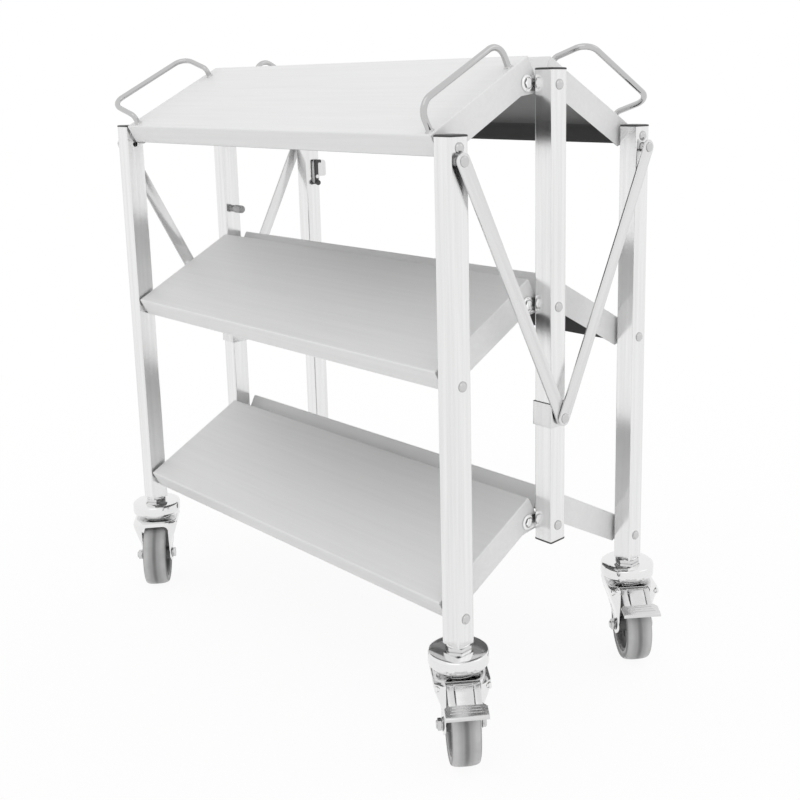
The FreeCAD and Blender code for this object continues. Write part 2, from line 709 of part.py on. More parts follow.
def make_fork(name, braked):
    """Crown with a turned-down rim and two tapering cheeks."""
    body = new_body(name)
    pad(body, "XY", [("0", "0", "crown")], f"{CROWN_TOP} - crown_deep", CROWN_TOP)
    pocket(body, "XY", [("0", "0", "crown - crown_rim")], f"{CROWN_TOP} - crown_deep - over", CROWN_LOW)
    straight = f"{CROWN_TOP} - cheek_deep"
    cheek = [("cheek_front", CROWN_TOP), ("cheek_front", straight), ("cheek_eye - trail", "wheel"),
             ("-cheek_eye - trail", "wheel"), ("-cheek_back", straight),
             ("-cheek_back", f"{CROWN_TOP} - cheek_slope"), ("-cheek_front", CROWN_TOP)]
    for low, high in ((CHEEK_IN, CHEEK_OUT), (f"-{CHEEK_OUT}", f"-{CHEEK_IN}")):
        pad(body, "XZ", [cheek], low, high)
        pad(body, "XZ", [("-trail", "wheel", "cheek_eye")], low, high)
    if braked:
        pad(body, "XZ", [("-brake_back", "brake_up", "brake_pin")], f"-{CHEEK_OUT}", CHEEK_OUT)
    pocket(body, "XY", [("0", "0", "king_pin + fit")], CROWN_LOW, f"{CROWN_TOP} + over")
    pocket(body, "XZ", [("-trail", "wheel", "pivot + fit")], f"-{CHEEK_OUT} - over", f"{CHEEK_OUT} + over")
    return body


def make_axle(name):
    """Axle bolt with its head at -Y, and its nut at +Y."""
    reach = f"{CHEEK_OUT} + face_gap"
    shank = turned_piece(f"{name}_shank", [
        ("0", f"-({reach})"), ("pivot", f"-({reach})"), ("pivot", f"{reach} + axle_nut + thread_out"),
        ("0", f"{reach} + axle_nut + thread_out")])
    head = doc.addObject("Part::Prism", f"{name}_head")
    head.Polygon = 6
    head.setExpression("Circumradius", tied("nut_across / sqrt(3)"))
    head.setExpression("Height", tied("axle_head"))
    head.setExpression("Placement.Base.z", tied(f"-({reach}) - axle_head"))
    bolt = doc.addObject("Part::Fuse", f"{name}_bolt")
    bolt.Base, bolt.Tool = shank, head
    nut = hexagon_nut(f"{name}_nut", "axle_nut")
    nut.setExpression("Placement.Base.z", tied(reach))
    both = doc.addObject("Part::Compound", name)
    both.Links = [bolt, nut]
    return both


def make_hub(name):
    bore = "pivot + fit"
    boss_end = f"{CHEEK_IN} - turn_gap"
    rim_out = "wheel - tyre_thick"
    rim_in = f"{rim_out} - rim_thick"
    upper = [(bore, boss_end), ("boss", boss_end), ("boss", "web_wide / 2"), (rim_in, "web_wide / 2"),
             (rim_in, "rim_wide / 2"), (rim_out, "rim_wide / 2")]
    lower = [(radius, f"-({height})") for radius, height in reversed(upper)]
    return turned_piece(name, upper + lower)


def make_tyre(name):
    body = ring(name, "wheel - tyre_thick + fit", "wheel", "-tread / 2", "tread / 2")
    faces = (value("tread / 2"), -value("tread / 2"))
    outer = value("wheel")

    def shoulder(box):
        return close_to(box.XMax, outer) and any(level_at(height)(box) for height in faces)
    soften(body, "tread_round", shoulder)
    return body


def make_pedal(name):
    """Brake pedal: barrel on its pin, neck, tread plate and turned edge, with the pin at zero."""
    body = new_body(name)
    pad(body, "XZ", [("0", "0", "brake_barrel")], "-brake_neck / 2", "brake_neck / 2")
    neck = [("0", "brake_barrel"), ("-brake_step", "-brake_fall + brake_sheet"),
            ("-brake_step", "-brake_fall"), ("0", "brake_barrel - brake_sheet")]
    pad(body, "XZ", [neck], "-brake_neck / 2", "brake_neck / 2")
    front, back, fall = "-brake_step + lip_back", "-brake_step - tread_back", "-brake_fall - tread_fall"
    plate = [(front, "-brake_fall + brake_sheet + lip_back / 2"), (back, f"{fall} + brake_sheet"),
             (f"{back} - lip_back", f"{fall} + brake_sheet - lip_fall"),
             (f"{back} - lip_back + brake_sheet", f"{fall} - lip_fall + brake_sheet / 2"),
             (f"{back} + brake_sheet / 2", fall), (front, "-brake_fall + lip_back / 2")]
    pad(body, "XZ", [plate], "-brake_wide / 2", "brake_wide / 2")
    slanted = []
    for sign in ("-", ""):
        wide, narrow = f"{sign}(brake_wide / 2)", f"{sign}(brake_front / 2)"
        beyond = f"{sign}(brake_wide / 2 + over)"
        slanted.append([(back, wide), (front, narrow), (f"{front} + over", narrow),
                        (f"{front} + over", beyond), (back, beyond)])
    pocket(body, "XY", slanted, f"{fall} - over", "brake_sheet")
    pocket(body, "XZ", [("0", "0", "brake_pin + fit")], "-brake_neck / 2 - over", "brake_neck / 2 + over")
    return body


def make_casters():
    for corner, (side, turned) in CORNERS.items():
        x, y = f"{SIDE_SIGN[side]} * {LEG_X}", POST_Y
        if turned:
            x, y = f"-({x})", f"-({y})"
        yaw = f"turn_{corner}"
        # The wheel's middle and the pedal's pin, carried round by the swivel
        wheel_x, wheel_y = f"{x} - trail * cos({yaw})", f"{y} - trail * sin({yaw})"
        fork = make_fork(f"caster_fork_{corner}", corner.startswith("near"))
        finished(place(fork, x, y, "0", yaw=yaw), f"caster_fork_{corner}")
        for kind, make in (("axle", make_axle), ("hub", make_hub), ("tyre", make_tyre)):
            label = f"caster_{kind}_{corner}"
            piece = make(label)
            finished(place(piece, wheel_x, wheel_y, "wheel", yaw=yaw, roll="-90"), label)
        if corner.startswith("near"):
            pedal = make_pedal(f"brake_pedal_{corner}")
            pin_x, pin_y = f"{x} - brake_back * cos({yaw})", f"{y} - brake_back * sin({yaw})"
            finished(place(pedal, pin_x, pin_y, "brake_up", yaw=yaw), f"brake_pedal_{corner}")
    for side in ("left", "right"):
        mounts = []
        for corner, x, turned in corners_on(side):
            mounts.append(place(caster_mount(f"caster_mount_{corner}"), x, POST_Y, "0", turned))
        group(f"caster_mounts_{side}", mounts)


# Storage latch: stud on the far post, plate and hook on the far right leg, drawn at the near left leg
# with the leg's inner face at zero and turned half round

INNER_Y = f"(-{HALF} + tube)"


def make_latch():
    stud = turned_piece("latch_stud", [
        ("0", "0"), ("stud_neck", "0"), ("stud_neck", "stud_long / 3"), ("stud", "stud_long / 3"),
        ("stud", "stud_long"), ("0", "stud_long")])
    soften(stud, "stud_round", level_at(value("stud_long")))
    finished(place(stud, "0", INNER_Y, "caster_height + stud_up", True, roll="-90"), "latch_stud")

    outer = "-(tube / 2 + latch_over)"
    inner = f"({outer} + latch_wide)"
    plate = new_body("latch_plate")
    blank = [(outer, "0"), (inner, "0"), (inner, "latch_high"), (outer, "latch_high")]
    pad(plate, "XZ", [blank], "0", "latch_thick")
    soften(plate, "latch_round", latch_corner)
    foot = [(f"{inner} - latch_foot_wide", "-latch_foot"), (inner, "-latch_foot"), (inner, "0"),
            (f"{inner} - latch_foot_wide", "0")]
    pad(plate, "XZ", [foot], "0", "latch_thick")
    hook_x = f"{inner} - hook_wide / 2"
    pin_end = "latch_thick + face_gap + hook_thick + face_gap"
    pad(plate, "XZ", [(hook_x, "0", "hook_pin")], "latch_thick", pin_end)
    finished(place(plate, f"-{LEG_X}", INNER_Y, "caster_height + latch_up", True), "latch_plate")

    hook = new_body("latch_hook")
    side, tip = "hook_wide / 2", "hook_wide / 2 - hook_beak"
    arm = [(f"-{side}", "-knob_drop"), (side, "-knob_drop"), (side, "hook_long + hook_tip"),
           (tip, "hook_long + hook_tip"), (tip, "hook_long"), (f"-{side}", "hook_long")]
    pad(hook, "XZ", [arm], "0", "hook_thick")
    pad(hook, "XZ", [("0", "-knob_drop", "knob")], "0", "knob_long")
    pocket(hook, "XZ", [("0", "0", "hook_pin + fit")], "-over", "hook_thick + over")
    finished(place(hook, f"-{LEG_X} + {hook_x}", f"{INNER_Y} + latch_thick + face_gap",
                   "caster_height + latch_up", True), "latch_hook")


def latch_corner(box):
    """The outer upper corner of the latch plate."""
    return close_to(box.ZLength, 0) and close_to(box.XLength, 0) and close_to(box.ZMax, value("latch_high")) \
        and box.XMax < 0 and close_to(box.XMax, -value("tube / 2 + latch_over"))


def check_and_write():
    """Every object has to be sound before anything is written."""
    for item in doc.Objects:
        if {"Invalid", "Error"} & set(item.State):
            raise RuntimeError(f"{item.Name} failed: {item.State}")
    for piece in sub_parts:
        if piece.Shape.isNull() or not piece.Shape.isValid():
            raise RuntimeError(f"{piece.Label} has no sound shape")
    os.makedirs("parts", exist_ok=True)
    for piece in sub_parts:
        piece.Shape.exportStep(f"parts/{piece.Label}.step")


make_posts()
make_legs()
make_post_bolts()
make_leg_rivets()
make_trays()
make_handles()
make_braces()
make_collars()
make_casters()
make_latch()
doc.recompute()
check_and_write()

box = FreeCAD.BoundBox()
for piece in sub_parts:
    box.add(piece.Shape.BoundBox)
print(f"{len(sub_parts)} sub-parts, {sum(len(piece.Shape.Solids) for piece in sub_parts)} solids")
print(f"box {box.XMin:.2f}..{box.XMax:.2f}, {box.YMin:.2f}..{box.YMax:.2f}, {box.ZMin:.2f}..{box.ZMax:.2f}")
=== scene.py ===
import json
import math

import bpy
from bpy.props import FloatProperty, FloatVectorProperty, PointerProperty
from mathutils import Matrix, Vector


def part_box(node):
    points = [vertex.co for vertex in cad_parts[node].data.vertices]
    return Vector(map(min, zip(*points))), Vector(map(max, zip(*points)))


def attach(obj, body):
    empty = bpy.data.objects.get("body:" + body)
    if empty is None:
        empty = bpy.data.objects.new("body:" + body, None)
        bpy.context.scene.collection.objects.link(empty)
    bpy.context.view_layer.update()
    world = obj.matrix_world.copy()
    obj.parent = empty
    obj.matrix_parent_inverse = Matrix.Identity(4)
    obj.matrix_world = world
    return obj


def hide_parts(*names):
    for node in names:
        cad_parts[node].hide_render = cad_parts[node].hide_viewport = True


bl_info = {
    "name": "Folding Service Cart",
    "version": (1, 0, 0),
    "blender": (4, 5, 0),
    "location": "3D View > Sidebar > Cart",
    "description": "Finishes, fittings and studio for a folding stainless steel service cart",
    "category": "Object",
}

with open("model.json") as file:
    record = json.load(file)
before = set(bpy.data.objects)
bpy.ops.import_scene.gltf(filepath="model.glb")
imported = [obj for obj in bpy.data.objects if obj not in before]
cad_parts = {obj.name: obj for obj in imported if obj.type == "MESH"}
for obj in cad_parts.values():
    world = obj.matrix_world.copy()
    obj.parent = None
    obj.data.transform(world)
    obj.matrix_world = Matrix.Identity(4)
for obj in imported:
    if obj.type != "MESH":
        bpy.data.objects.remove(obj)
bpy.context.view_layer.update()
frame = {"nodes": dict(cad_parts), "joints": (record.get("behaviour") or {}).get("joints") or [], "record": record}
MM = 0.001
CORNERS = ("near_left", "near_right", "far_left", "far_right")
SIDES = ("left", "right")
ENDS = ("near", "far")
LEVELS = ("top", "middle", "bottom")


# Sizes and colours that can be changed in the panel


class CartCamera(bpy.types.PropertyGroup):
    """Where the product camera stands."""
    place: FloatVectorProperty(
        name="Place", description="Camera's place", subtype="XYZ", unit="LENGTH",
        default=(-1.0177, -1.2164, 0.8081))
    yaw: FloatProperty(
        name="Yaw", description="Direction of view round the vertical, from +X", subtype="ANGLE",
        default=math.radians(44.77))
    pitch: FloatProperty(
        name="Pitch", description="Direction of view above the horizon", subtype="ANGLE",
        default=math.radians(-11.22))
    roll: FloatProperty(
        name="Roll", description="Turn about the line of sight", subtype="ANGLE", default=math.radians(-0.74))
    lens: FloatProperty(name="Lens", description="Focal length on a 36 mm wide picture", default=48.99)
    shift: FloatVectorProperty(
        name="Shift", description="Lens shift, in shares of the picture's width", size=2,
        default=(-0.084, -0.12))


class CartStudio(bpy.types.PropertyGroup):
    """Levels of the studio light."""
    key_power: FloatProperty(
        name="Key", description="Power of the large soft box", subtype="POWER", default=3)
    side_power: FloatProperty(
        name="Side", description="Power of the side soft box", subtype="POWER", default=2)
    world_level: FloatProperty(name="Surround", description="Level of the white surround", default=1.0, min=0)
    floor_glow: FloatProperty(
        name="Floor glow", description="Share of plain white in the floor as the camera sees it",
        subtype="FACTOR", default=0.93, min=0, max=1)
    floor_reach: FloatProperty(
        name="Floor reach", description="Distance at which the floor has faded into the surround",
        unit="LENGTH", default=1.9)


class CartFinish(bpy.types.PropertyGroup):
    """Colours of the finishes, and of the painted shade on the trays' backs."""
    tube: FloatVectorProperty(
        name="Tube steel", description="Polished steel of legs, posts and braces", subtype="COLOR",
        default=(0.86, 0.86, 0.86))
    tray: FloatVectorProperty(
        name="Tray steel", description="Satin sheet of the trays", subtype="COLOR",
        default=(0.79, 0.79, 0.79))
    # The tray back colour is painted shade: it darkens the down-facing back of each tray's sheet and the inside of
    # its eave, where shade falls under the trays.
    tray_back_shade: FloatVectorProperty(
        name="Tray back", description="Dull unpolished back of the trays' sheet", subtype="COLOR",
        default=(0.22, 0.22, 0.22))
    chrome: FloatVectorProperty(
        name="Chrome", description="Plating of the casters", subtype="COLOR", default=(0.82, 0.82, 0.82))
    black: FloatVectorProperty(
        name="Black plastic", description="End caps of legs and posts", subtype="COLOR",
        default=(0.02, 0.02, 0.02))
    tyre: FloatVectorProperty(
        name="Tyre rubber", description="Grey rubber of the tyres", subtype="COLOR",
        default=(0.36, 0.36, 0.36))


GROUPS = {"cart_camera": CartCamera, "cart_studio": CartStudio, "cart_finish": CartFinish}


# Shader building


def shader_group(name, inputs, outputs):
    """An empty node group with named sockets, and its two end nodes."""
    group = bpy.data.node_groups.new(name, "ShaderNodeTree")
    for label, kind, default in inputs:
        socket = group.interface.new_socket(label, in_out="INPUT", socket_type=kind)
        if default is not None:
            socket.default_value = default
    for label, kind in outputs:
        group.interface.new_socket(label, in_out="OUTPUT", socket_type=kind)
    return group, group.nodes.new("NodeGroupInput"), group.nodes.new("NodeGroupOutput")


def feed(tree, socket, value):
    """Links an output to a socket, or sets the socket's own number."""
    if isinstance(value, bpy.types.NodeSocket):
        tree.links.new(value, socket)
    elif value is not None:
        socket.default_value = value


def maths(tree, operation, first, second=None, clamp=False):
    node = tree.nodes.new("ShaderNodeMath")
    node.operation = operation
    node.use_clamp = clamp
    feed(tree, node.inputs[0], first)
    feed(tree, node.inputs[1], second)
    return node.outputs[0]


def noise(tree, vector, scale, detail=2.0, roughness=0.5):
    node = tree.nodes.new("ShaderNodeTexNoise")
    feed(tree, node.inputs["Vector"], vector)
    feed(tree, node.inputs["Scale"], scale)
    node.inputs["Detail"].default_value = detail
    node.inputs["Roughness"].default_value = roughness
    return node.outputs["Fac"]


def spread(tree, value, low, high, out_low=0.0, out_high=1.0):
    """Maps a range onto another, held within it."""
    node = tree.nodes.new("ShaderNodeMapRange")
    feed(tree, node.inputs["Value"], value)
    feed(tree, node.inputs["From Min"], low)
    feed(tree, node.inputs["From Max"], high)
    feed(tree, node.inputs["To Min"], out_low)
    feed(tree, node.inputs["To Max"], out_high)
    return node.outputs["Result"]


def blend_colours(tree, factor, first, second):
    node = tree.nodes.new("ShaderNodeMix")
    node.data_type = "RGBA"
    feed(tree, node.inputs["Factor"], factor)
    for label, value in (("A", first), ("B", second)):
        feed(tree, node.inputs[label], value if isinstance(value, bpy.types.NodeSocket) else (*value, 1.0))
    return node.outputs["Result"]


def object_place(tree, stretch=(1.0, 1.0, 1.0), turn=(0.0, 0.0, 0.0)):
    """Object coordinates, turned and stretched along the grain."""
    source = tree.nodes.new("ShaderNodeTexCoord")
    mapping = tree.nodes.new("ShaderNodeMapping")
    mapping.vector_type = "TEXTURE"
    tree.links.new(source.outputs["Object"], mapping.inputs["Vector"])
    mapping.inputs["Rotation"].default_value = turn
    mapping.inputs["Scale"].default_value = stretch
    return mapping.outputs["Vector"]


def grain_group():
    """Brushed grain: fine stretched scratches, with broader streaks among them."""
    group, start, end = shader_group(
        "Brushed Grain",
        [("Vector", "NodeSocketVector", None), ("Fineness", "NodeSocketFloat", 1400.0)],
        [("Scratches", "NodeSocketFloat"), ("Streaks", "NodeSocketFloat")])
    fine = noise(group, start.outputs["Vector"], start.outputs["Fineness"], 3.0, 0.6)
    coarse = maths(group, "MULTIPLY", start.outputs["Fineness"], 0.12)
    broad = noise(group, start.outputs["Vector"], coarse)
    group.links.new(spread(group, fine, 0.3, 0.7), end.inputs["Scratches"])
    group.links.new(spread(group, broad, 0.3, 0.7), end.inputs["Streaks"])
    return group


def smudge_group():
    """Handling marks: broad soft patches where the finish is a little duller."""
    group, start, end = shader_group(
        "Handling Marks", [("Scale", "NodeSocketFloat", 9.0)], [("Dull", "NodeSocketFloat")])
    place = group.nodes.new("ShaderNodeTexCoord").outputs["Object"]
    patches = noise(group, place, start.outputs["Scale"], 3.0, 0.55)
    group.links.new(spread(group, patches, 0.42, 0.72), end.inputs["Dull"])
    return group


def crease_group():
    """Painted shade in inner corners, and bare bright edges outside."""
    group, start, end = shader_group(
        "Creases And Edges", [("Reach", "NodeSocketFloat", 0.006)],
        [("Crease", "NodeSocketFloat"), ("Edge", "NodeSocketFloat")])
    shade = group.nodes.new("ShaderNodeAmbientOcclusion")
    shade.samples = 6
    group.links.new(start.outputs["Reach"], shade.inputs["Distance"])
    group.links.new(spread(group, shade.outputs["AO"], 0.75, 0.3), end.inputs["Crease"])
    geometry = group.nodes.new("ShaderNodeNewGeometry")
    group.links.new(spread(group, geometry.outputs["Pointiness"], 0.52, 0.6), end.inputs["Edge"])
    return group


def place_group(tree, name, **values):
    node = tree.nodes.new("ShaderNodeGroup")
    node.node_tree = bpy.data.node_groups[name]
    for label, value in values.items():
        feed(tree, node.inputs[label], value)
    return node


def new_material(name):
    """A material with only its Principled shader and its output."""
    material = bpy.data.materials.new(name)
    material.use_nodes = True
    tree = material.node_tree
    return material, tree, tree.nodes["Principled BSDF"]


def bump(tree, shader, height, depth, strength=1.0):
    node = tree.nodes.new("ShaderNodeBump")
    node.inputs["Strength"].default_value = strength
    node.inputs["Distance"].default_value = depth
    feed(tree, node.inputs["Height"], height)
    tree.links.new(node.outputs["Normal"], shader.inputs["Normal"])


def toned(colour, share):
    """A colour made darker or lighter, never lighter than white."""
    return tuple(min(1.0, c * share) for c in colour)


def grey(level):
    return level, level, level


RIDGE_X = sum(corner.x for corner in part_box("post_near")) / 2


def inner_faces(tree):
    """Masks for painted shade: the back of a tray's sheet, which looks down, and the inside of its eave."""
    source = tree.nodes.new("ShaderNodeTexCoord")
    facing, place = (tree.nodes.new("ShaderNodeSeparateXYZ") for _ in range(2))
    tree.links.new(source.outputs["Normal"], facing.inputs["Vector"])
    tree.links.new(source.outputs["Object"], place.inputs["Vector"])
    from_ridge = maths(tree, "SUBTRACT", place.outputs["X"], RIDGE_X)
    outwards = maths(tree, "MULTIPLY", from_ridge, facing.outputs["X"])
    return spread(tree, facing.outputs["Z"], -0.6, -0.7), spread(tree, outwards, -0.08, -0.12)


def brushed(name, colour, rough, stretch, turn=(0, 0, 0), metal=1.0, back=None):
    """Stainless steel with its grain along one way; where it is a tray's sheet, its back and the inside of its
    eave are darkened with painted shade.
    """
    material, tree, shader = new_material(name)
    grain = place_group(tree, "Brushed Grain", Vector=object_place(tree, stretch, turn), Fineness=1400.0)
    marks = place_group(tree, "Handling Marks", Scale=7.0)
    creases = place_group(tree, "Creases And Edges", Reach=0.008)
    streak = toned(colour, 0.965 if back else 0.92)
    base = blend_colours(tree, grain.outputs["Streaks"], colour, streak)
    # Painted shade: the back of a tray's sheet, and darker still the inside of its eave, take the back colour
    # where shade falls under the trays.
    if back:
        underside, eave = inner_faces(tree)
        base = blend_colours(tree, underside, base, back)
        base = blend_colours(tree, eave, base, toned(back, 0.45))
    # Painted shade: the crease mask darkens the steel in inner corners, standing in for the shade that falls
    # there.
    crease_shade = maths(tree, "MULTIPLY", creases.outputs["Crease"], 0.35)
    feed(tree, shader.inputs["Base Color"], blend_colours(tree, crease_shade, base, toned(colour, 0.45)))
    shader.inputs["Metallic"].default_value = metal
    varied = spread(tree, grain.outputs["Scratches"], 0.0, 1.0, rough - 0.03, rough + 0.04)
    dulled = maths(tree, "ADD", varied, maths(tree, "MULTIPLY", marks.outputs["Dull"], 0.06))
    feed(tree, shader.inputs["Roughness"], dulled)
    bump(tree, shader, grain.outputs["Scratches"], 0.00001)
    return material


def chromed(name, colour, rough, crease_shade=0.6):
    """Bright plating with faint ripples, and painted shade in its creases."""
    material, tree, shader = new_material(name)
    marks = place_group(tree, "Handling Marks", Scale=60.0)
    creases = place_group(tree, "Creases And Edges", Reach=0.004)
    # Painted shade: the crease mask, weighted by the given strength, darkens the plating in inner corners.
    crease_shade_mask = maths(tree, "MULTIPLY", creases.outputs["Crease"], crease_shade)
    feed(tree, shader.inputs["Base Color"], blend_colours(tree, crease_shade_mask, colour, toned(colour, 0.35)))
    shader.inputs["Metallic"].default_value = 1.0
    feed(tree, shader.inputs["Roughness"], spread(tree, marks.outputs["Dull"], 0.0, 1.0, rough, rough + 0.08))
    bump(tree, shader, noise(tree, object_place(tree), 90.0), 0.00012, 0.6)
    return material


def moulded(name, colour, rough):
    """Plastic with a fine moulded texture and pale worn edges."""
    material, tree, shader = new_material(name)
    marks = place_group(tree, "Handling Marks", Scale=30.0)
    creases = place_group(tree, "Creases And Edges", Reach=0.004)
    pale = tuple(c + 0.02 for c in toned(colour, 1.6))
    base = blend_colours(tree, maths(tree, "MULTIPLY", marks.outputs["Dull"], 0.35), colour, pale)
    worn = blend_colours(tree, maths(tree, "MULTIPLY", creases.outputs["Edge"], 0.4), base, pale)
    feed(tree, shader.inputs["Base Color"], worn)
    feed(tree, shader.inputs["Roughness"], spread(tree, marks.outputs["Dull"], 0.0, 1.0, rough, rough + 0.12))
    bump(tree, shader, noise(tree, object_place(tree), 900.0), 0.00003)
    return material


def worn_tyre(name, colour, rough):
    """Rubber with a pale tread, a darker band round its middle, and side walls darkened with painted shade."""
    material, tree, shader = new_material(name)
    across = tree.nodes.new("ShaderNodeAttribute")
    across.attribute_name = "across"
    wide = across.outputs["Fac"]
    marks = place_group(tree, "Handling Marks", Scale=45.0)
    smear = maths(tree, "MULTIPLY", noise(tree, object_place(tree), 60.0, 3.0), 1.6)
    smeared = maths(tree, "ADD", wide, smear)
    base = toned(colour, 0.5)
    # The last zone is painted shade: it darkens the side walls, which stand in shadow.
    zones = ((smeared, 1.8, 5.4, 1.0), (smeared, 6.5, 12.5, 1.45), (wide, 16.2, 17.8, 0.4))
    for place, start, end, share in zones:
        base = blend_colours(tree, spread(tree, place, start, end), base, toned(colour, share))
    dust = maths(tree, "MULTIPLY", marks.outputs["Dull"], 0.25)
    feed(tree, shader.inputs["Base Color"], blend_colours(tree, dust, base, toned(colour, 0.75)))
    feed(tree, shader.inputs["Roughness"], spread(tree, marks.outputs["Dull"], 0.0, 1.0, rough, rough + 0.15))
    bump(tree, shader, noise(tree, object_place(tree), 900.0), 0.00002)
    return material


GRAIN_LONG = 40.0
BRACE_LEAN = math.radians(27.2)
FINISHES = {}


def make_materials(finish):
    """Every finish on the cart, by its name here."""
    grain_group()
    smudge_group()
    crease_group()
    upright = (1.0, 1.0, GRAIN_LONG)
    lengthwise = (1.0, GRAIN_LONG, 1.0)
    bar = toned(finish.tube, 0.9)
    FINISHES.update(
        tube_steel=brushed("Tube Steel", finish.tube, 0.16, upright),
        tray_steel=brushed("Tray Steel", finish.tray, 0.5, lengthwise, metal=0.08, back=finish.tray_back_shade),
        bar_steel=brushed("Bar Steel", bar, 0.2, upright),
        falling_bar=brushed("Left Brace Steel", bar, 0.2, upright, (0, -BRACE_LEAN, 0)),
        rising_bar=brushed("Right Brace Steel", bar, 0.2, upright, (0, BRACE_LEAN, 0)),
        # The handle rods and the bright hardware are chrome like the casters; their darker colour is painted
        # shade, standing in for the dark surroundings that such chrome reflects.
        handle_rod=chromed("Handle Rod", grey(0.54), 0.08),
        bright_hardware=chromed("Bright Hardware", grey(0.6), 0.08, crease_shade=0.95),
        lug_chrome=chromed("Lug Chrome", grey(0.95), 0.08, crease_shade=1.0),
        caster_chrome=chromed("Caster Chrome", finish.chrome, 0.09),
        pedal_steel=chromed("Pedal Steel", grey(0.7), 0.24),
        stud_grey=moulded("Stud Grey", grey(0.4), 0.35),
        black_cap=moulded("Black Plastic", finish.black, 0.38),
        hook_plastic=moulded("Hook Plastic", grey(0.05), 0.3),
        hub_plastic=moulded("Hub Plastic", grey(0.15), 0.4),
        tyre_rubber=worn_tyre("Tyre Rubber", finish.tyre, 0.3))


class CART_OT_finishes(bpy.types.Operator):
    """Gives each carried-over piece its finish"""
    bl_idname = "cart.finishes"
    bl_label = "Finishes"

    def execute(self, context):
        make_materials(context.scene.cart_finish)
        for row in frame["record"]["subparts"]:
            node = frame["nodes"][row["node"]]
            node.data.materials.clear()
            node.data.materials.append(FINISHES[row["material_slot"]])
        return {"FINISHED"}


# Modelling, in millimetres


def vector(*numbers):
    return Vector(numbers) * MM


def shift(*numbers):
    return Matrix.Translation(vector(*numbers))


def nothing_selected():
    bpy.ops.object.select_all(action="DESELECT")


def only(piece):
    """Makes one piece the selected and active one."""
    nothing_selected()
    piece.select_set(True)
    bpy.context.view_layer.objects.active = piece
    return piece


def edit_mode():
    bpy.ops.object.mode_set(mode="EDIT")


def all_selected():
    bpy.ops.mesh.select_all(action="SELECT")


def place_applied():
    """Keeps the place of the selected piece in its mesh."""
    bpy.ops.object.transform_apply(location=True, rotation=True, scale=True)


def pull(way):
    """Extrudes what is selected, by a way in metres."""
    bpy.ops.mesh.extrude_region_move(TRANSFORM_OT_translate={"value": way})


def first_point(spot):
    """A piece of a single point, in edit mode."""
    nothing_selected()
    bpy.ops.mesh.primitive_plane_add(size=MM)
    piece = bpy.context.object
    edit_mode()
    bpy.ops.mesh.merge(type="CENTER")
    bpy.ops.transform.translate(value=spot)
    return piece


def draw_on(points):
    """Extrudes the selected point through the others."""
    for before, after in zip(points, points[1:]):
        bpy.ops.mesh.extrude_vertices_move(TRANSFORM_OT_translate={"value": after - before})


def rounded_plane(wide, deep, corner, segments, spot=(0, 0, 0)):
    """A flat rectangle with rounded corners, selected in edit mode."""
    nothing_selected()
    bpy.ops.mesh.primitive_plane_add(size=MM, location=vector(*spot))
    piece = bpy.context.object
    piece.scale = (wide, deep, 1)
    place_applied()
    edit_mode()
    bpy.ops.mesh.bevel(offset=corner * MM, segments=segments, affect="VERTICES")
    all_selected()
    return piece


def pick_faces(piece, wanted):
    """In edit mode, selects the faces that pass the test."""
    bpy.ops.mesh.select_mode(type="FACE")
    bpy.ops.mesh.select_all(action="DESELECT")
    bpy.ops.object.mode_set(mode="OBJECT")
    for face in piece.data.polygons:
        face.select = wanted(face)
    edit_mode()


def made_solid(piece):
    """Closes doubled points, turns the faces outwards and leaves edit mode."""
    bpy.ops.mesh.select_mode(type="VERT")
    all_selected()
    bpy.ops.mesh.remove_doubles(threshold=0.005 * MM)
    bpy.ops.mesh.normals_make_consistent(inside=False)
    bpy.ops.object.mode_set(mode="OBJECT")
    return only(piece)


def arc(x, z, radius, start, end, count=8):
    """Points of an arc, from one angle to another in degrees."""
    angles = [math.radians(start + (end - start) * i / count) for i in range(count + 1)]
    return [(x + radius * math.cos(angle), z + radius * math.sin(angle)) for angle in angles]


def mirrored(half, middle=()):
    """An outline of radius and height, with its mirror image at the other side of zero."""
    return [*half, *middle, *((radius, -height) for radius, height in reversed(half))]


def spun(outline, steps=40, ring=False):
    """A round piece about Z from its outline of radius and height."""
    points = [vector(radius, 0, height) for radius, height in outline]
    if ring:
        points.append(points[0])
    piece = first_point(points[0])
    draw_on(points)
    all_selected()
    bpy.ops.mesh.spin(steps=steps, angle=math.tau, center=(0, 0, 0), axis=(0, 0, 1))
    return made_solid(piece)


def round_bar(radius, low, high, steps=24):
    """A plain round bar about Z, for a shank or for cutting a hole."""
    return spun([(0, low), (radius, low), (radius, high), (0, high)], steps)


def plate(outline, low, high):
    """A flat piece from its outline of X and Z, from low to high along Y."""
    points = [vector(x, low, z) for x, z in outline]
    piece = first_point(points[0])
    draw_on(points)
    all_selected()
    bpy.ops.mesh.edge_face_add()
    pull(vector(0, high - low, 0))
    return made_solid(piece)


def bent_rod(points, bends, radius, sides=20):
    """A round rod through the points, bent to a radius at each inner one."""
    points = [vector(*point) for point in points]
    start, ahead = points[0], (points[1] - points[0]).normalized()
    nothing_selected()
    bpy.ops.mesh.primitive_circle_add(
        vertices=sides, radius=radius * MM, fill_type="NGON", location=start,
        rotation=ahead.to_track_quat("Z", "Y").to_euler())
    piece = bpy.context.object
    place_applied()
    edit_mode()
    all_selected()
    for before, corner, after, bend in zip(points, points[1:], points[2:], bends):
        back, ahead = (before - corner).normalized(), (after - corner).normalized()
        half = back.angle(ahead) / 2
        bend *= MM
        reach = bend / math.tan(half)
        pull(corner + back * reach - start)
        centre = corner + (back + ahead).normalized() * bend / math.sin(half)
        axis = back.cross(ahead).normalized()
        bpy.ops.mesh.spin(steps=10, angle=math.pi - 2 * half, center=centre, axis=axis)
        start = corner + ahead * reach
    pull(points[-1] - start)
    return made_solid(piece)


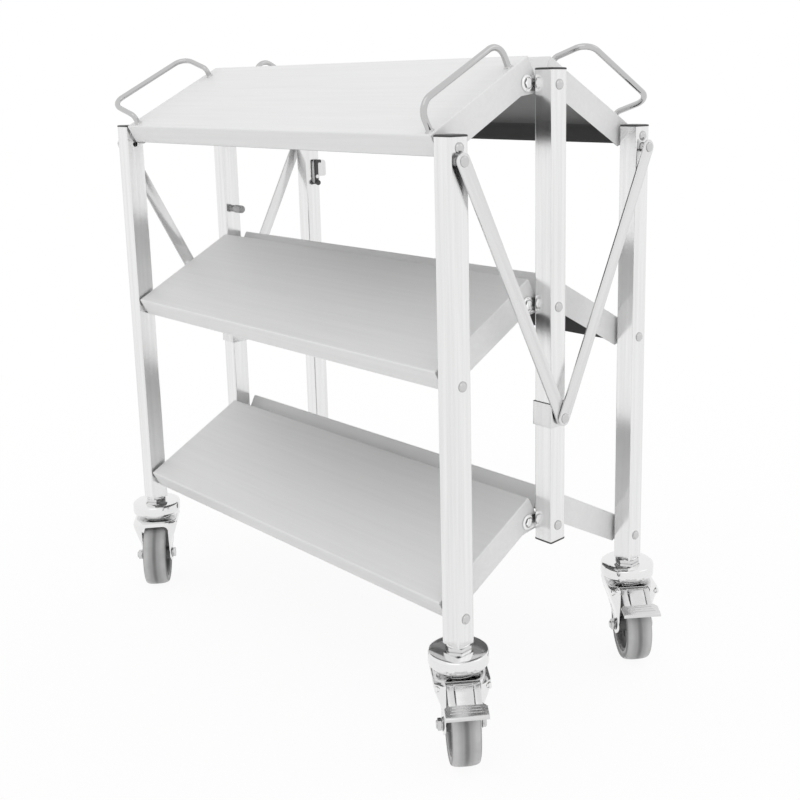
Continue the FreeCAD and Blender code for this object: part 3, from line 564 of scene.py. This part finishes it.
def bevelled(piece, width, segments=3, angle=30):
    """Rounds the edges that are sharper than the angle."""
    only(piece)
    modifier = piece.modifiers.new("Rounding", "BEVEL")
    modifier.width = width * MM
    modifier.segments = segments
    modifier.angle_limit = math.radians(angle)
    bpy.ops.object.modifier_apply(modifier=modifier.name)
    return piece


def cut(piece, tool, operation="DIFFERENCE"):
    """Cuts with another piece, or joins with it into one skin, and removes that other piece."""
    only(piece)
    modifier = piece.modifiers.new("Cut", "BOOLEAN")
    modifier.operation = operation
    modifier.solver = "EXACT"
    modifier.object = tool
    bpy.ops.object.modifier_apply(modifier=modifier.name)
    bpy.data.objects.remove(tool)
    return piece


def moved(piece, place):
    """Puts a piece at its place, with the place kept in its mesh."""
    only(piece)
    piece.matrix_world = place
    place_applied()
    return piece


def copied(piece, place):
    only(piece)
    bpy.ops.object.duplicate()
    return moved(bpy.context.object, place)


def together(*pieces):
    """Joins pieces into the first one."""
    nothing_selected()
    for piece in pieces:
        piece.select_set(True)
    bpy.context.view_layer.objects.active = pieces[0]
    if len(pieces) > 1:
        bpy.ops.object.join()
    return pieces[0]


def repeated(piece, places):
    """One piece of copies at all the places; the pattern itself is removed."""
    copies = [copied(piece, place) for place in places]
    bpy.data.objects.remove(piece)
    return together(*copies)


def fitted(name, piece, body, finish, *nodes):
    """Gives a finished piece its name, its material and its body, and hides the nodes that it stands for."""
    only(piece)
    bpy.ops.object.shade_smooth_by_angle(angle=math.radians(38))
    piece.name = name
    piece.data.name = name
    piece.data.materials.clear()
    piece.data.materials.append(FINISHES[finish])
    if nodes:
        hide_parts(*nodes)
    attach(piece, body)


# Places. Heights of the pivots are above a leg's foot, and POST_LESS is how much lower they are on a post.

LEVEL_UP = {"top": 602.7, "middle": 327.4, "bottom": 35.5}
POST_LESS = 14.9
BRACE_UP = LEVEL_UP["top"] - 14.7
LATCH_UP, STUD_UP = 515, 472
LEG_LONG, POST_LONG = 615, 605.5
HALF_TUBE = 14
TRAY_END, TRAY_TOP = 342.5, 41
SLOPE = math.radians(28.4)
QUARTER = Matrix.Rotation(math.radians(-90), 4, "X")
HALF_TURN = Matrix.Rotation(math.pi, 4, "Z")


def tube_place(node, up, outer=True):
    """Place on a leg or post, on its outer face or in its middle, with Y pointing into the cart."""
    low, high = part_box(node)
    far = "far" in node
    y = (low.y + high.y) / 2
    if outer:
        y = high.y if far else low.y
    spot = Matrix.Translation(((low.x + high.x) / 2, y, low.z + up * MM))
    return spot @ HALF_TURN if far else spot


def pivot_places(nodes, less=0):
    """Places of the three level pivots on each leg or post, with Z pointing into the cart."""
    return [tube_place(node, up - less) @ QUARTER for node in nodes for up in LEVEL_UP.values()]


def tray_place(side, level="top"):
    """Frame of a tray: zero at its post pivot, the tray running to -X."""
    low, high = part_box("post_near")
    _, far_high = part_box("post_far")
    middle = ((low.x + high.x) / 2, (low.y + far_high.y) / 2)
    up = low.z + (LEVEL_UP[level] - POST_LESS) * MM
    turn = HALF_TURN if side == "right" else Matrix.Identity(4)
    return Matrix.Translation((*middle, up)) @ turn @ Matrix.Rotation(-SLOPE, 4, "Y")


# Caps


def end_cap():
    """Domed plastic cap, its rim on the tube's end at zero, with its ribbed plug below."""
    cap = rounded_plane(28.8, 28.8, 2.4, 4)
    for rise, scale in ((1.6, 1.0), (0.5, 0.975), (0.35, 0.94), (0.25, 0.86), (0.1, 0.6)):
        pull(vector(0, 0, rise))
        bpy.ops.transform.resize(value=(scale, scale, 1))
    pick_faces(cap, lambda face: abs(face.center.z) < 0.01 * MM)
    bpy.ops.mesh.inset(thickness=1.65 * MM)
    pull(vector(0, 0, -5.5))
    pull(vector(0, 0, -1))
    bpy.ops.transform.resize(value=(0.94, 0.94, 1))
    return made_solid(cap)


class CART_OT_caps(bpy.types.Operator):
    """Black end caps on the legs and posts"""
    bl_idname = "cart.caps"
    bl_label = "End caps"

    def execute(self, context):
        for side in SIDES:
            tops = [tube_place(f"leg_{end}_{side}", LEG_LONG, False) for end in ENDS]
            caps = repeated(end_cap(), tops)
            fitted(f"Leg_Caps_{side}", caps, f"legs_{side}", "black_cap", f"leg_caps_{side}")
        upside_down = Matrix.Rotation(math.pi, 4, "X")
        places = []
        for end in ENDS:
            places.append(tube_place(f"post_{end}", POST_LONG, False))
            places.append(tube_place(f"post_{end}", 0, False) @ upside_down)
        fitted("Post_Caps", repeated(end_cap(), places), "posts", "black_cap", "post_caps")
        return {"FINISHED"}


# Pivots: drawn upright, with zero at the outer face of the leg or post

DOME = [(0, -4), (1.5, -3.95), (3, -3.6), (4.3, -2.95), (5.2, -2.0), (5.6, -1.25), (5.7, -1.05), (6.4, -0.95),
        (6.5, -0.8), (6.5, 0), (4, 0)]


def distance_bush(low, high):
    outline = [(4.05, low), (6, low), (6.5, low + 0.5), (6.5, high - 0.5), (6, high), (4.05, high)]
    return spun(outline, ring=True)


def hexagon(low, high, across=13, bore=4.05):
    """Hexagon nut with turned corners, or a bolt's head where the bore is zero, from low to high.

    The cone that turns the corners runs past both faces: where they are shared, the cut can come out empty.
    """
    nothing_selected()
    corner = across / math.sqrt(3)
    bpy.ops.mesh.primitive_circle_add(
        vertices=6, radius=corner * MM, fill_type="NGON", location=vector(0, 0, low),
        rotation=(0, 0, math.pi / 6))
    nut = bpy.context.object
    place_applied()
    edit_mode()
    all_selected()
    pull(vector(0, 0, high - low))
    made_solid(nut)
    flat, rim = corner - 1.75, corner + 0.2
    cone = [(0, low - 0.45), (flat, low - 0.45), (rim, low + 0.9), (rim, high - 0.9), (flat, high + 0.45),
            (0, high + 0.45)]
    cut(nut, spun(cone, 36), "INTERSECT")
    if bore:
        cut(nut, round_bar(bore, low - 1, high + 1))
    return nut


def threaded_end(low, high, radius=4):
    """Bolt end with a few thread ridges and a chamfer, its core reaching down to low."""
    outline = [(0, low), (radius, low)]
    height = high - 3.4
    while height < high - 0.9:
        outline += [(radius - 0.35, height), (radius, height + 0.4)]
        height += 0.8
    return spun(outline + [(radius - 0.35, high - 0.7), (radius - 0.8, high), (0, high)], 24)


class CART_OT_pivots(bpy.types.Operator):
    """Domed rivets, bolts, nuts, bushes and washers of the level pivots"""
    bl_idname = "cart.pivots"
    bl_label = "Pivots"

    def execute(self, context):
        riveted_end = [(4, 32.4), (3, 32.4), (3, 33.8), (3.9, 33.8), (3.7, 34.9), (3, 35.6), (0, 35.8)]
        flat = [(4.05, 28.05), (7.6, 28.05), (8, 28.4), (8, 29.2), (7.6, 29.55), (4.05, 29.55)]
        for side in SIDES:
            body = f"legs_{side}"
            spots = pivot_places([f"leg_{end}_{side}" for end in ENDS])
            rivet = together(spun(DOME + riveted_end), distance_bush(29.6, 32.4))
            rivets = repeated(rivet, spots)
            fitted(f"Leg_Rivets_{side}", rivets, body, "bright_hardware", f"leg_rivets_{side}")
            washers = repeated(spun(flat, ring=True), spots)
            fitted(f"Leg_Washers_{side}", washers, body, "stud_grey", f"pivot_washers_{side}")
        spots = pivot_places([f"post_{end}" for end in ENDS], POST_LESS)
        head = spun(DOME + [(4, 30), (0, 30)])
        bolt = together(head, threaded_end(29, 43.2), distance_bush(28.05, 32.4), hexagon(35.2, 41.2))
        fitted("Post_Bolts", repeated(bolt, spots), "posts", "bright_hardware", "post_bolts")
        return {"FINISHED"}


def lug():
    """Rounded lug with its flat riveted head, on a tray's end beside the post."""
    x, z = -23, 2
    outline = [(-9.5, -8), *arc(x, z, 10.5, -90, -265, 14), (-9.5, 10.5)]
    tab = bevelled(plate(outline, -1.6, 0.1), 0.4, 3, 50)
    head = hexagon(-3.9, -1.5, 11, 0)
    rim = spun([(7.0, -1.55), (7.2, -2.3), (8.6, -2.3), (9.2, -1.55)], 36, ring=True)
    centre = shift(x, 0, z) @ QUARTER
    return together(tab, moved(head, centre), moved(rim, centre))


class CART_OT_lugs(bpy.types.Operator):
    """Bright lugs at the hinge ends of the trays"""
    bl_idname = "cart.lugs"
    bl_label = "Hinge lugs"

    def execute(self, context):
        pattern = moved(lug(), shift(0, -TRAY_END, 0) @ Matrix.Rotation(SLOPE, 4, "Y"))
        for side in SIDES:
            for level in LEVELS:
                piece = copied(pattern, tray_place(side, level))
                fitted(f"Hinge_Lug_{level}_{side}", piece, f"tray_{level}_{side}", "lug_chrome")
        bpy.data.objects.remove(pattern)
        return {"FINISHED"}


# Handles: drawn in the top tray's frame


def handle_line(rise):
    """Line of a handle, up from its foot near the ridge and down again at the same rise to the other."""
    return [(-32, y, z) for y, z in rise] + [(-182, y, z) for y, z in reversed(rise)]


class CART_OT_handles(bpy.types.Operator):
    """Bent rod handles with welded feet on the top trays"""
    bl_idname = "cart.handles"
    bl_label = "Handles"

    def execute(self, context):
        stand, foot, grip = 8 - TRAY_END, TRAY_END - 22, TRAY_END + 26
        root, top = TRAY_TOP - 0.1, 75
        upright = handle_line([(stand, root), (stand, top)]), (20, 20)
        leaning = handle_line([(foot, root), (foot, 55), (grip, top)]), (9, 20, 20, 9)
        forms = {"near_left": upright, "far_left": leaning, "far_right": upright, "near_right": leaning}
        bead = [(0, 0), (5.8, 0), (5.5, 0.35), (4.9, 0.9), (4.4, 1.6), (4.05, 2.6), (0, 2.6)]
        for corner, (points, bends) in forms.items():
            side = corner.split("_")[1]
            parts = [bent_rod(points, bends, 4)]
            for x, y, _ in (points[0], points[-1]):
                parts.append(moved(spun(bead, 20), shift(x, y, TRAY_TOP)))
            handle = moved(together(*parts), tray_place(side))
            fitted(f"Handle_{corner}", handle, f"tray_top_{side}", "handle_rod", f"handle_{corner}")
        return {"FINISHED"}


# Braces and collars. BRACE_OUT is how far each bar's inner face stands off its leg.

BRACE_LONG = 378
BRACE_OUT = {"near_left": 4.7, "far_right": 4.7, "near_right": 8, "far_left": 8}


def flat_head(low):
    """Low rivet head whose underside is at low, pointing to -Z."""
    return [(0, low - 2.4), (3.5, low - 2.35), (5.2, low - 2.0), (6.1, low - 1.3), (6.5, low - 0.5),
            (6.5, low), (4, low)]


class CART_OT_braces(bpy.types.Operator):
    """Flat brace bars with their rivets and bolts"""
    bl_idname = "cart.braces"
    bl_label = "Braces"

    def execute(self, context):
        shank = [(4, 0), (0, 0)]
        covered_end = [(0, -3.2), (2.8, -3.18), (3.6, -3.1), (3.9, -2.9), (4, -2.4), *shank]
        for corner in CORNERS:
            body = f"brace_{corner}"
            covered = corner in ("near_left", "far_right")
            outline = arc(0, 0, 10, 0, 180, 14) + arc(0, -BRACE_LONG, 10, 180, 360, 14)
            bar = bevelled(plate(outline, -3, 0), 0.7)
            pin = tube_place(f"leg_{corner}", BRACE_UP)
            run = abs(pin.translation.x - tube_place("post_near", 0).translation.x)
            lean = math.asin(run / (BRACE_LONG * MM))
            turn = Matrix.Rotation(-lean if covered else lean, 4, "Y")
            place = pin @ shift(0, -BRACE_OUT[corner], 0) @ turn
            finish = "falling_bar" if "left" in corner else "rising_bar"
            fitted(f"Brace_{corner}", moved(bar, place), body, finish, f"brace_{corner}")
            if covered:
                rivet = spun(covered_end, 24)
            else:
                rivet = spun(flat_head(-3.05) + shank)
            rivet = moved(rivet, place @ shift(0, 0, -BRACE_LONG) @ QUARTER)
            fitted(f"Brace_Rivet_{corner}", rivet, body, "bright_hardware", f"brace_rivet_{corner}")
        for side in SIDES:
            parts = []
            for end in ENDS:
                out = BRACE_OUT[f"{end}_{side}"]
                bolt = spun(flat_head(-out - 3.1) + [(4, 20), (0, 20)])
                place = tube_place(f"leg_{end}_{side}", BRACE_UP) @ QUARTER
                parts.append(moved(together(bolt, distance_bush(-out + 0.1, -0.05)), place))
            bolts = together(*parts)
            fitted(f"Brace_Bolts_{side}", bolts, f"legs_{side}", "bright_hardware", f"brace_bolts_{side}")
        return {"FINISHED"}


def square_sleeve():
    """Square sleeve with rounded corners and eased edges, from zero up."""
    sleeve = rounded_plane(32.6, 32.6, 2.5, 5)
    pull(vector(0, 0, 31.5))
    bevelled(made_solid(sleeve), 0.5, 2, 60)
    core = rounded_plane(28.6, 28.6, 1.6, 4, (0, 0, -3))
    pull(vector(0, 0, 40))
    return cut(sleeve, made_solid(core))


class CART_OT_collars(bpy.types.Operator):
    """Sliding collars on the posts"""
    bl_idname = "cart.collars"
    bl_label = "Collars"

    def execute(self, context):
        for end in ENDS:
            node = f"collar_{end}"
            boss = spun([(0, 0), (6.4, 0), (7, 0.5), (7, 3), (0, 3)])
            collar = cut(square_sleeve(), moved(boss, shift(0, -18.4, 12) @ QUARTER), "UNION")
            place = tube_place(f"post_{end}", 0, False)
            place.translation.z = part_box(node)[0].z
            fitted(f"Collar_{end}", moved(collar, place), node, "bar_steel", node)
        return {"FINISHED"}


# Casters: drawn with the swivel axis and the floor at zero and the wheel trailing to -X

TRAIL, WHEEL = 30, 50
AXLE = shift(-TRAIL, 0, WHEEL) @ QUARTER
PEDAL_PIVOT = shift(-43, 0, 104.5)


def caster_place(corner):
    """Frame of a caster, turned as the wheel's axle in the record says."""
    low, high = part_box(f"leg_{corner}")
    axis = next(joint["axis"] for joint in frame["joints"] if joint["name"] == f"wheel_{corner}_roll")
    spot = Matrix.Translation(((low.x + high.x) / 2, (low.y + high.y) / 2, 0))
    return spot @ Matrix.Rotation(math.atan2(-axis[0], axis[1]), 4, "Z")


def race_head():
    """Stem with its lock nut, flat ball race head with its deep rim, and the king pin's riveted end."""
    outline = [
        (0, 150), (12.6, 150), (12.75, 149), (12.75, 140), (13.6, 139.8), (13.6, 133.4), (24, 133.2),
        (33, 132.4), (36, 131.6), (37.4, 130.6), (38, 129), (38, 117.6), (37.7, 116.2), (36.8, 115),
        (35.2, 114.3), (33, 114), (25, 113.6), (24, 113.2), (6, 113.2), (6, 104.9), (9, 104.9), (9, 103.6),
        (8, 102.7), (5, 102.2), (0, 102.1)]
    lock = [(13.1, 138.3), (14.6, 138.3), (15.4, 138.8), (15.4, 140.2), (14.8, 140.8), (13.1, 140.8)]
    nut = hexagon(133.2, 138.4, 29, 13.2)
    return together(spun(outline, 64), nut, spun(lock, 48, ring=True))


FORK_MIDDLE, FORK_LONG = -11.75, 76.5
FORK_FLARE = ((36, 24), (66, 24), (72, 25), (80, 27.6), (88, 30.6), (96, 33.2), (102, 34.8), (106, 35.4),
              (108.2, 34.6), (109, 33))


def flared_block(shrink=0):
    """Rounded block that flares out to the race; shrunk by the wall's thickness it is the hollow inside."""
    height, half = (number - shrink for number in FORK_FLARE[0])
    spot = (FORK_MIDDLE, 0, height)
    block = rounded_plane(FORK_LONG - 2 * shrink, 2 * half, 16 - shrink, 6, spot)
    for up, wide in FORK_FLARE[1:]:
        up, wide = up - shrink * (up > 100), wide - shrink
        pull(vector(0, 0, up - height))
        bpy.ops.transform.resize(value=(1, wide / half, 1))
        height, half = up, wide
    return made_solid(block)


def fork(braked):
    """Pressed fork: flared cheeks round the axle, arched at both ends, with the race on its crown."""
    body = cut(flared_block(), flared_block(3))
    outline = [(26, 120), (26.8, 97), (26.5, 92), (24.5, 86), (20, 77)]
    outline += arc(-TRAIL, WHEEL, 13, 24, -200, 16)
    outline += [(-46.5, 76), (-49, 88), (-51, 94), (-51, 104), (-49.5, 108), (-47, 120)]
    cut(body, plate(outline, -40, 40), "INTERSECT")
    arch = [(-21, 20), (21, 20), *arc(12, 94.5, 9, 0, 90, 6), *arc(-12, 94.5, 9, 90, 180, 6)]
    cut(body, moved(plate(arch, -70, 70), Matrix.Rotation(math.radians(90), 4, "Z")))
    if braked:
        cut(body, plate([(-70, 90), (-37, 90), (-37, 120), (-70, 120)], -21, 21))
    cut(body, round_bar(6.05, 90, 120, 40))
    bevelled(body, 0.5, 2, 50)
    race = [(6.05, 108.9), (6.05, 112.9), (21, 112.9), (23.5, 112.4), (24.5, 111.2), (24.5, 108.9)]
    parts = [body, spun(race, 56, ring=True)]
    if braked:
        pin = mirrored([(0, -34.2), (3.2, -34.2), (4.2, -33.2), (4.2, -31.2), (2.5, -31)])
        parts.append(moved(spun(pin, 24), PEDAL_PIVOT @ QUARTER))
    return together(*parts)


def axle_bolt():
    """Axle bolt with its nut and two washers, its middle at zero."""
    half = [(4, 25.3), (8, 25.3), (8.3, 25), (8.3, 24.1), (4, 24.1)]
    washers = []
    for end in (-1, 1):
        washers.append(spun([(radius, end * height) for radius, height in half], 32, ring=True))
    tip = spun([(0, 30.3), (5, 30.3), (4.9, 31.8), (4.2, 32.4), (0, 32.4)], 24)
    head, nut = hexagon(-29.4, -25.3, bore=0), hexagon(25.3, 30.6, bore=0)
    return together(head, *washers, nut, tip, round_bar(4, -26, 26))


class CART_OT_caster_heads(bpy.types.Operator):
    """Ball race heads under the legs"""
    bl_idname = "cart.caster_heads"
    bl_label = "Caster heads"

    def execute(self, context):
        for side in SIDES:
            places = [tube_place(f"leg_{end}_{side}", 0, False) for end in ENDS]
            for place in places:
                place.translation.z = 0
            heads = repeated(race_head(), places)
            fitted(f"Caster_Heads_{side}", heads, f"legs_{side}", "caster_chrome", f"caster_mounts_{side}")
        return {"FINISHED"}


class CART_OT_forks(bpy.types.Operator):
    """Pressed caster forks with their axle bolts"""
    bl_idname = "cart.forks"
    bl_label = "Forks and axles"

    def execute(self, context):
        for corner in CORNERS:
            body = f"caster_{corner}"
            place = caster_place(corner)
            pressing = moved(fork(corner.startswith("near")), place)
            fitted(f"Fork_{corner}", pressing, body, "caster_chrome", f"caster_fork_{corner}")
            axle = moved(axle_bolt(), place @ AXLE)
            fitted(f"Axle_{corner}", axle, body, "bright_hardware", f"caster_axle_{corner}")
        return {"FINISHED"}


def tyre():
    """Rubber tyre with a crowned tread and a bead line, and how far across it each point lies."""
    half = [(38.05, 16.4), (40.5, 16.8), (41.2, 17.3), (43.2, 17.9), (45, 18), (46.6, 17.5), (47.9, 16.2),
            (48.8, 14), (49.4, 11), (49.8, 7.5), (50, 3.8)]
    ring = spun(mirrored(half, [(50, 0)]), 72, ring=True)
    across = ring.data.attributes.new("across", "FLOAT", "POINT")
    across.data.foreach_set("value", [abs(point.co.z) / MM for point in ring.data.vertices])
    return ring


def hub():
    """Hub with a raised rim, a dished web with six pockets on each side and a boss."""
    half = [(4.05, 20.7), (8.6, 20.7), (9.4, 20), (10, 12), (11.5, 8.2), (15, 7.2), (30, 7.2), (32.6, 8.6),
            (33.6, 12), (34, 14.4), (34.6, 15), (37.4, 15), (38, 14.4)]
    wheel = spun(mirrored(half), 60, ring=True)
    for x, y in arc(0, 0, 22.5, 0, 300, 5):
        for low, high in ((5.2, 12), (-12, -5.2)):
            cut(wheel, moved(round_bar(6.5, low, high), shift(x, y, 0)))
    return wheel


class CART_OT_wheels(bpy.types.Operator):
    """Grey wheels with rubber tyres"""
    bl_idname = "cart.wheels"
    bl_label = "Wheels"

    def execute(self, context):
        kinds = ((tyre(), "Tyre", "tyre_rubber"), (hub(), "Hub", "hub_plastic"))
        for corner in CORNERS:
            for pattern, name, finish in kinds:
                piece = copied(pattern, caster_place(corner) @ AXLE)
                node = f"caster_{name.lower()}_{corner}"
                fitted(f"{name}_{corner}", piece, f"wheel_{corner}", finish, node)
        for pattern, _, _ in kinds:
            bpy.data.objects.remove(pattern)
        return {"FINISHED"}


def pedal():
    """Brake pedal: rolled barrel, bulging tongue between two arms, and a tread plate with curled edges."""
    barrel = spun(mirrored([(2.55, -19.6), (4, -19.6), (4.5, -19.1)]), 28, ring=True)
    moved(barrel, QUARTER)
    arm = [(0, 4.5), (-5, 4.1), (-12, 0), (-19, -5.2), (-25, -8.6), (-25, -11.2), (-19, -8.2), (-12, -3),
           (-5, 1.3), (0, 2.6)]
    arms = [bevelled(plate(arm, low, high), 0.5, 2, 50) for low, high in ((-20.3, -12), (12, 20.3))]
    tongue = [(-2, 4.3), (-5.5, 5.4), (-9.5, 4.7), (-14.5, 1.4), (-19, -3.0), (-22, -6.4), (-25, -8.3),
              (-25, -11), (-19, -7.6), (-13.5, -3.2), (-8.5, 0.6), (-4, 1.9), (-2, 2.2)]
    middle = bevelled(plate(tongue, -10.8, 10.8), 0.8, 3, 50)
    tread = [(-20.5, -7.6), (-23.5, -8.7), (-32, -10.6), (-41.5, -12.1), (-44, -12.8), (-45.4, -14.2),
             (-45.7, -16.3), (-44.8, -17.2), (-43.7, -16.5), (-43.2, -15.2), (-41.5, -14.3), (-32, -12.8),
             (-23.5, -10.9), (-20.5, -9.8)]
    foot = plate(tread, -26, 26)
    edit_mode()
    for sign in (-1, 1):
        all_selected()
        bpy.ops.mesh.bisect(plane_co=vector(-20.5, 19 * sign, 0), plane_no=(7, 22.5 * sign, 0), use_fill=True,
                            clear_outer=True)
    foot = bevelled(made_solid(foot), 0.9, 3, 50)
    ribs = []
    for x, z, reach in ((-28, -9.75, 17), (-32.5, -10.7, 18.5), (-37, -11.4, 20)):
        rib = [(x - 0.8, z), (x - 0.4, z + 0.35), (x + 0.4, z + 0.4), (x + 0.8, z + 0.1)]
        ribs.append(bevelled(plate(rib, -reach, reach), 0.12))
    return together(barrel, *arms, middle, foot, *ribs)


class CART_OT_pedals(bpy.types.Operator):
    """Brake pedals of the near casters"""
    bl_idname = "cart.pedals"
    bl_label = "Brake pedals"

    def execute(self, context):
        pattern = pedal()
        for side in SIDES:
            corner = f"near_{side}"
            piece = copied(pattern, caster_place(corner) @ PEDAL_PIVOT)
            fitted(f"Brake_Pedal_{side}", piece, f"brake_{corner}", "pedal_steel", f"brake_pedal_{corner}")
        bpy.data.objects.remove(pattern)
        return {"FINISHED"}


# Latch: zero at the far right leg's inner face, and the hook's pivot 3.5 beside it


def latch_plate():
    """Bent plate with the hook's pin and two screws."""
    outline = [(-27, 4), *arc(-23, 4, 4, 180, 270, 4), (-12, 0), (-12, -12), (-2, -12),
               *arc(-2, -10, 2, -90, 0, 3), *arc(-3, 26, 3, 0, 90, 4), *arc(-21, 23, 6, 90, 180, 6)]
    sheet = bevelled(plate(outline, 0, 3), 0.6, 3, 50)
    pin = spun([(0, 2), (2.5, 2), (2.5, 7.1), (3.4, 7.15), (3.3, 7.9), (2.2, 8.3), (0, 8.3)], 24)
    screw = spun([(0, 2.5), (3.2, 2.5), (3.2, 3.3), (2.4, 4.1), (1, 4.4), (0, 4.4)], 20)
    screws = repeated(screw, [shift(-8, 0, z) @ QUARTER for z in (7, 22)])
    return together(sheet, moved(pin, shift(-3.5, 0, 0) @ QUARTER), screws)


def latch_hook():
    """Hook that swings on the plate's pin, with its round knob."""
    beak = [(-3.5, -11), *arc(0, -11, 3.5, 180, 360, 8), (3.5, 27.5), *arc(1, 27.5, 2.5, 0, 90, 4), (-9, 30),
            (-10.5, 28.8), (-10.5, 24.2), (-9.2, 24.2), (-7.5, 25), (-4.5, 25), (-3.5, 24)]
    arm = bevelled(plate(beak, 0, 4), 0.6, 3, 50)
    cut(arm, moved(round_bar(2.55, -1, 5), QUARTER))
    knob = spun([(0, 3.5), (3.4, 3.5), (3.4, 4.4), (4.2, 4.8), (4.6, 5.6), (4.6, 7.6), (4, 8.6),
                 (2.8, 9), (0, 9)], 28)
    return together(arm, moved(knob, shift(0, 0, -11) @ QUARTER))


class CART_OT_latch(bpy.types.Operator):
    """Storage latch on the far right leg, and its stud on the far post"""
    bl_idname = "cart.latch"
    bl_label = "Latch"

    def execute(self, context):
        inner_face = shift(0, HALF_TUBE, 0)
        base = tube_place("leg_far_right", LATCH_UP, False) @ inner_face
        fitted("Latch_Plate", moved(latch_plate(), base), "legs_right", "bar_steel", "latch_plate")
        hook = moved(latch_hook(), base @ shift(-3.5, 3.1, 0))
        fitted("Latch_Hook", hook, "latch_hook", "hook_plastic", "latch_hook")
        stud = spun([(0, 0), (5.6, 0), (5.6, 0.8), (4.2, 1.4), (4, 2), (4, 8.4), (5.6, 8.6),
                     (6.5, 9.4), (6.5, 25.6), (6.1, 27), (5, 27.8), (0, 28)], 36)
        leg_foot, post_foot = (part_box(node)[0].z for node in ("leg_far_right", "post_far"))
        up = (leg_foot - post_foot) / MM + STUD_UP
        place = tube_place("post_far", up, False) @ inner_face @ QUARTER
        fitted("Latch_Stud", moved(stud, place), "posts", "stud_grey", "latch_stud")
        return {"FINISHED"}


# Stage


def camera_turn(view):
    """Rotation of a camera that looks along yaw and pitch, turned by roll about its line of sight."""
    flat = math.cos(view.pitch)
    ahead = Vector((math.cos(view.yaw) * flat, math.sin(view.yaw) * flat, math.sin(view.pitch)))
    upright = ahead.to_track_quat("-Z", "Y").to_matrix()
    return (upright @ Matrix.Rotation(view.roll, 3, "Z")).to_euler()


def light_rays(tree):
    """One where the camera, a mirror or glass looks, else nothing."""
    path = tree.nodes.new("ShaderNodeLightPath")
    both = maths(tree, "ADD", path.outputs["Is Camera Ray"], path.outputs["Is Glossy Ray"], clamp=True)
    return maths(tree, "ADD", both, path.outputs["Is Transmission Ray"], clamp=True)


def floor_material(glow, reach):
    """Pale floor that keeps the shadow, and fades into the white surround with distance."""
    material = bpy.data.materials.new("Pale Floor")
    material.use_nodes = True
    tree = material.node_tree
    tree.nodes.clear()
    plain = tree.nodes.new("ShaderNodeBsdfDiffuse")
    plain.inputs["Color"].default_value = (0.9, 0.9, 0.9, 1)
    white = tree.nodes.new("ShaderNodeEmission")
    mix = tree.nodes.new("ShaderNodeMixShader")
    distance = tree.nodes.new("ShaderNodeVectorMath")
    distance.operation = "LENGTH"
    tree.links.new(object_place(tree), distance.inputs[0])
    share = spread(tree, distance.outputs["Value"], reach * 0.3, reach, glow, 1.0)
    feed(tree, mix.inputs["Fac"], maths(tree, "MULTIPLY", light_rays(tree), share))
    tree.links.new(plain.outputs["BSDF"], mix.inputs[1])
    tree.links.new(white.outputs["Emission"], mix.inputs[2])
    out = tree.nodes.new("ShaderNodeOutputMaterial")
    tree.links.new(mix.outputs["Shader"], out.inputs["Surface"])
    return material


def make_world(level):
    world = bpy.data.worlds.new("White Surround")
    world.use_nodes = True
    tree = world.node_tree
    background = tree.nodes["Background"]
    background.inputs["Color"].default_value = (1, 1, 1, 1)
    feed(tree, background.inputs["Strength"], spread(tree, light_rays(tree), 0.0, 1.0, level, 1.0))
    bpy.context.scene.world = world


def soft_box(name, place, aim, size, power):
    bpy.ops.object.light_add(type="AREA", location=place)
    lamp = bpy.context.object
    lamp.name = name
    lamp.data.shape = "RECTANGLE"
    lamp.data.size, lamp.data.size_y = size
    lamp.data.energy = power
    lamp.rotation_euler = (Vector(aim) - Vector(place)).to_track_quat("-Z", "Y").to_euler()


class CART_OT_stage(bpy.types.Operator):
    """Sets up the pale floor, the soft light and the product camera"""
    bl_idname = "cart.stage"
    bl_label = "Studio"

    def execute(self, context):
        scene = context.scene
        view, studio = scene.cart_camera, scene.cart_studio
        nothing_selected()
        bpy.ops.mesh.primitive_plane_add(size=12)
        floor = context.object
        floor.name = "Floor"
        floor.data.materials.append(floor_material(studio.floor_glow, studio.floor_reach))
        make_world(studio.world_level)
        soft_box("Key", (-1.6, -0.8, 2.6), (0, 0, 0.4), (1.8, 1.8), studio.key_power)
        soft_box("Side", (1.8, -2.0, 2.6), (0, 0, 0.5), (1.4, 1.8), studio.side_power)
        bpy.ops.object.camera_add(location=view.place, rotation=camera_turn(view))
        camera = context.object
        camera.name = "Product Camera"
        camera.data.lens = view.lens
        camera.data.sensor_width = 36
        camera.data.shift_x, camera.data.shift_y = view.shift
        scene.camera = camera
        scene.view_settings.view_transform = "Standard"
        return {"FINISHED"}


STEPS = (CART_OT_finishes, CART_OT_caps, CART_OT_pivots, CART_OT_lugs, CART_OT_handles, CART_OT_braces,
         CART_OT_collars, CART_OT_caster_heads, CART_OT_forks, CART_OT_wheels, CART_OT_pedals, CART_OT_latch,
         CART_OT_stage)


class CART_PT_panel(bpy.types.Panel):
    """Lists the cart's steps and sizes"""
    bl_idname = "CART_PT_panel"
    bl_label = "Service Cart"
    bl_space_type = "VIEW_3D"
    bl_region_type = "UI"
    bl_category = "Cart"

    def draw(self, context):
        for step in STEPS:
            self.layout.operator(step.bl_idname)
        for group, kind in GROUPS.items():
            for name in kind.__annotations__:
                self.layout.prop(getattr(context.scene, group), name)


CLASSES = (*GROUPS.values(), *STEPS, CART_PT_panel)


def register():
    for item in CLASSES:
        bpy.utils.register_class(item)
    for name, kind in GROUPS.items():
        setattr(bpy.types.Scene, name, PointerProperty(type=kind))


def unregister():
    for name in GROUPS:
        delattr(bpy.types.Scene, name)
    for item in reversed(CLASSES):
        bpy.utils.unregister_class(item)


def main():
    register()
    for step in STEPS:
        group, name = step.bl_idname.split(".")
        getattr(getattr(bpy.ops, group), name)()


if __name__ == "__main__":
    main()
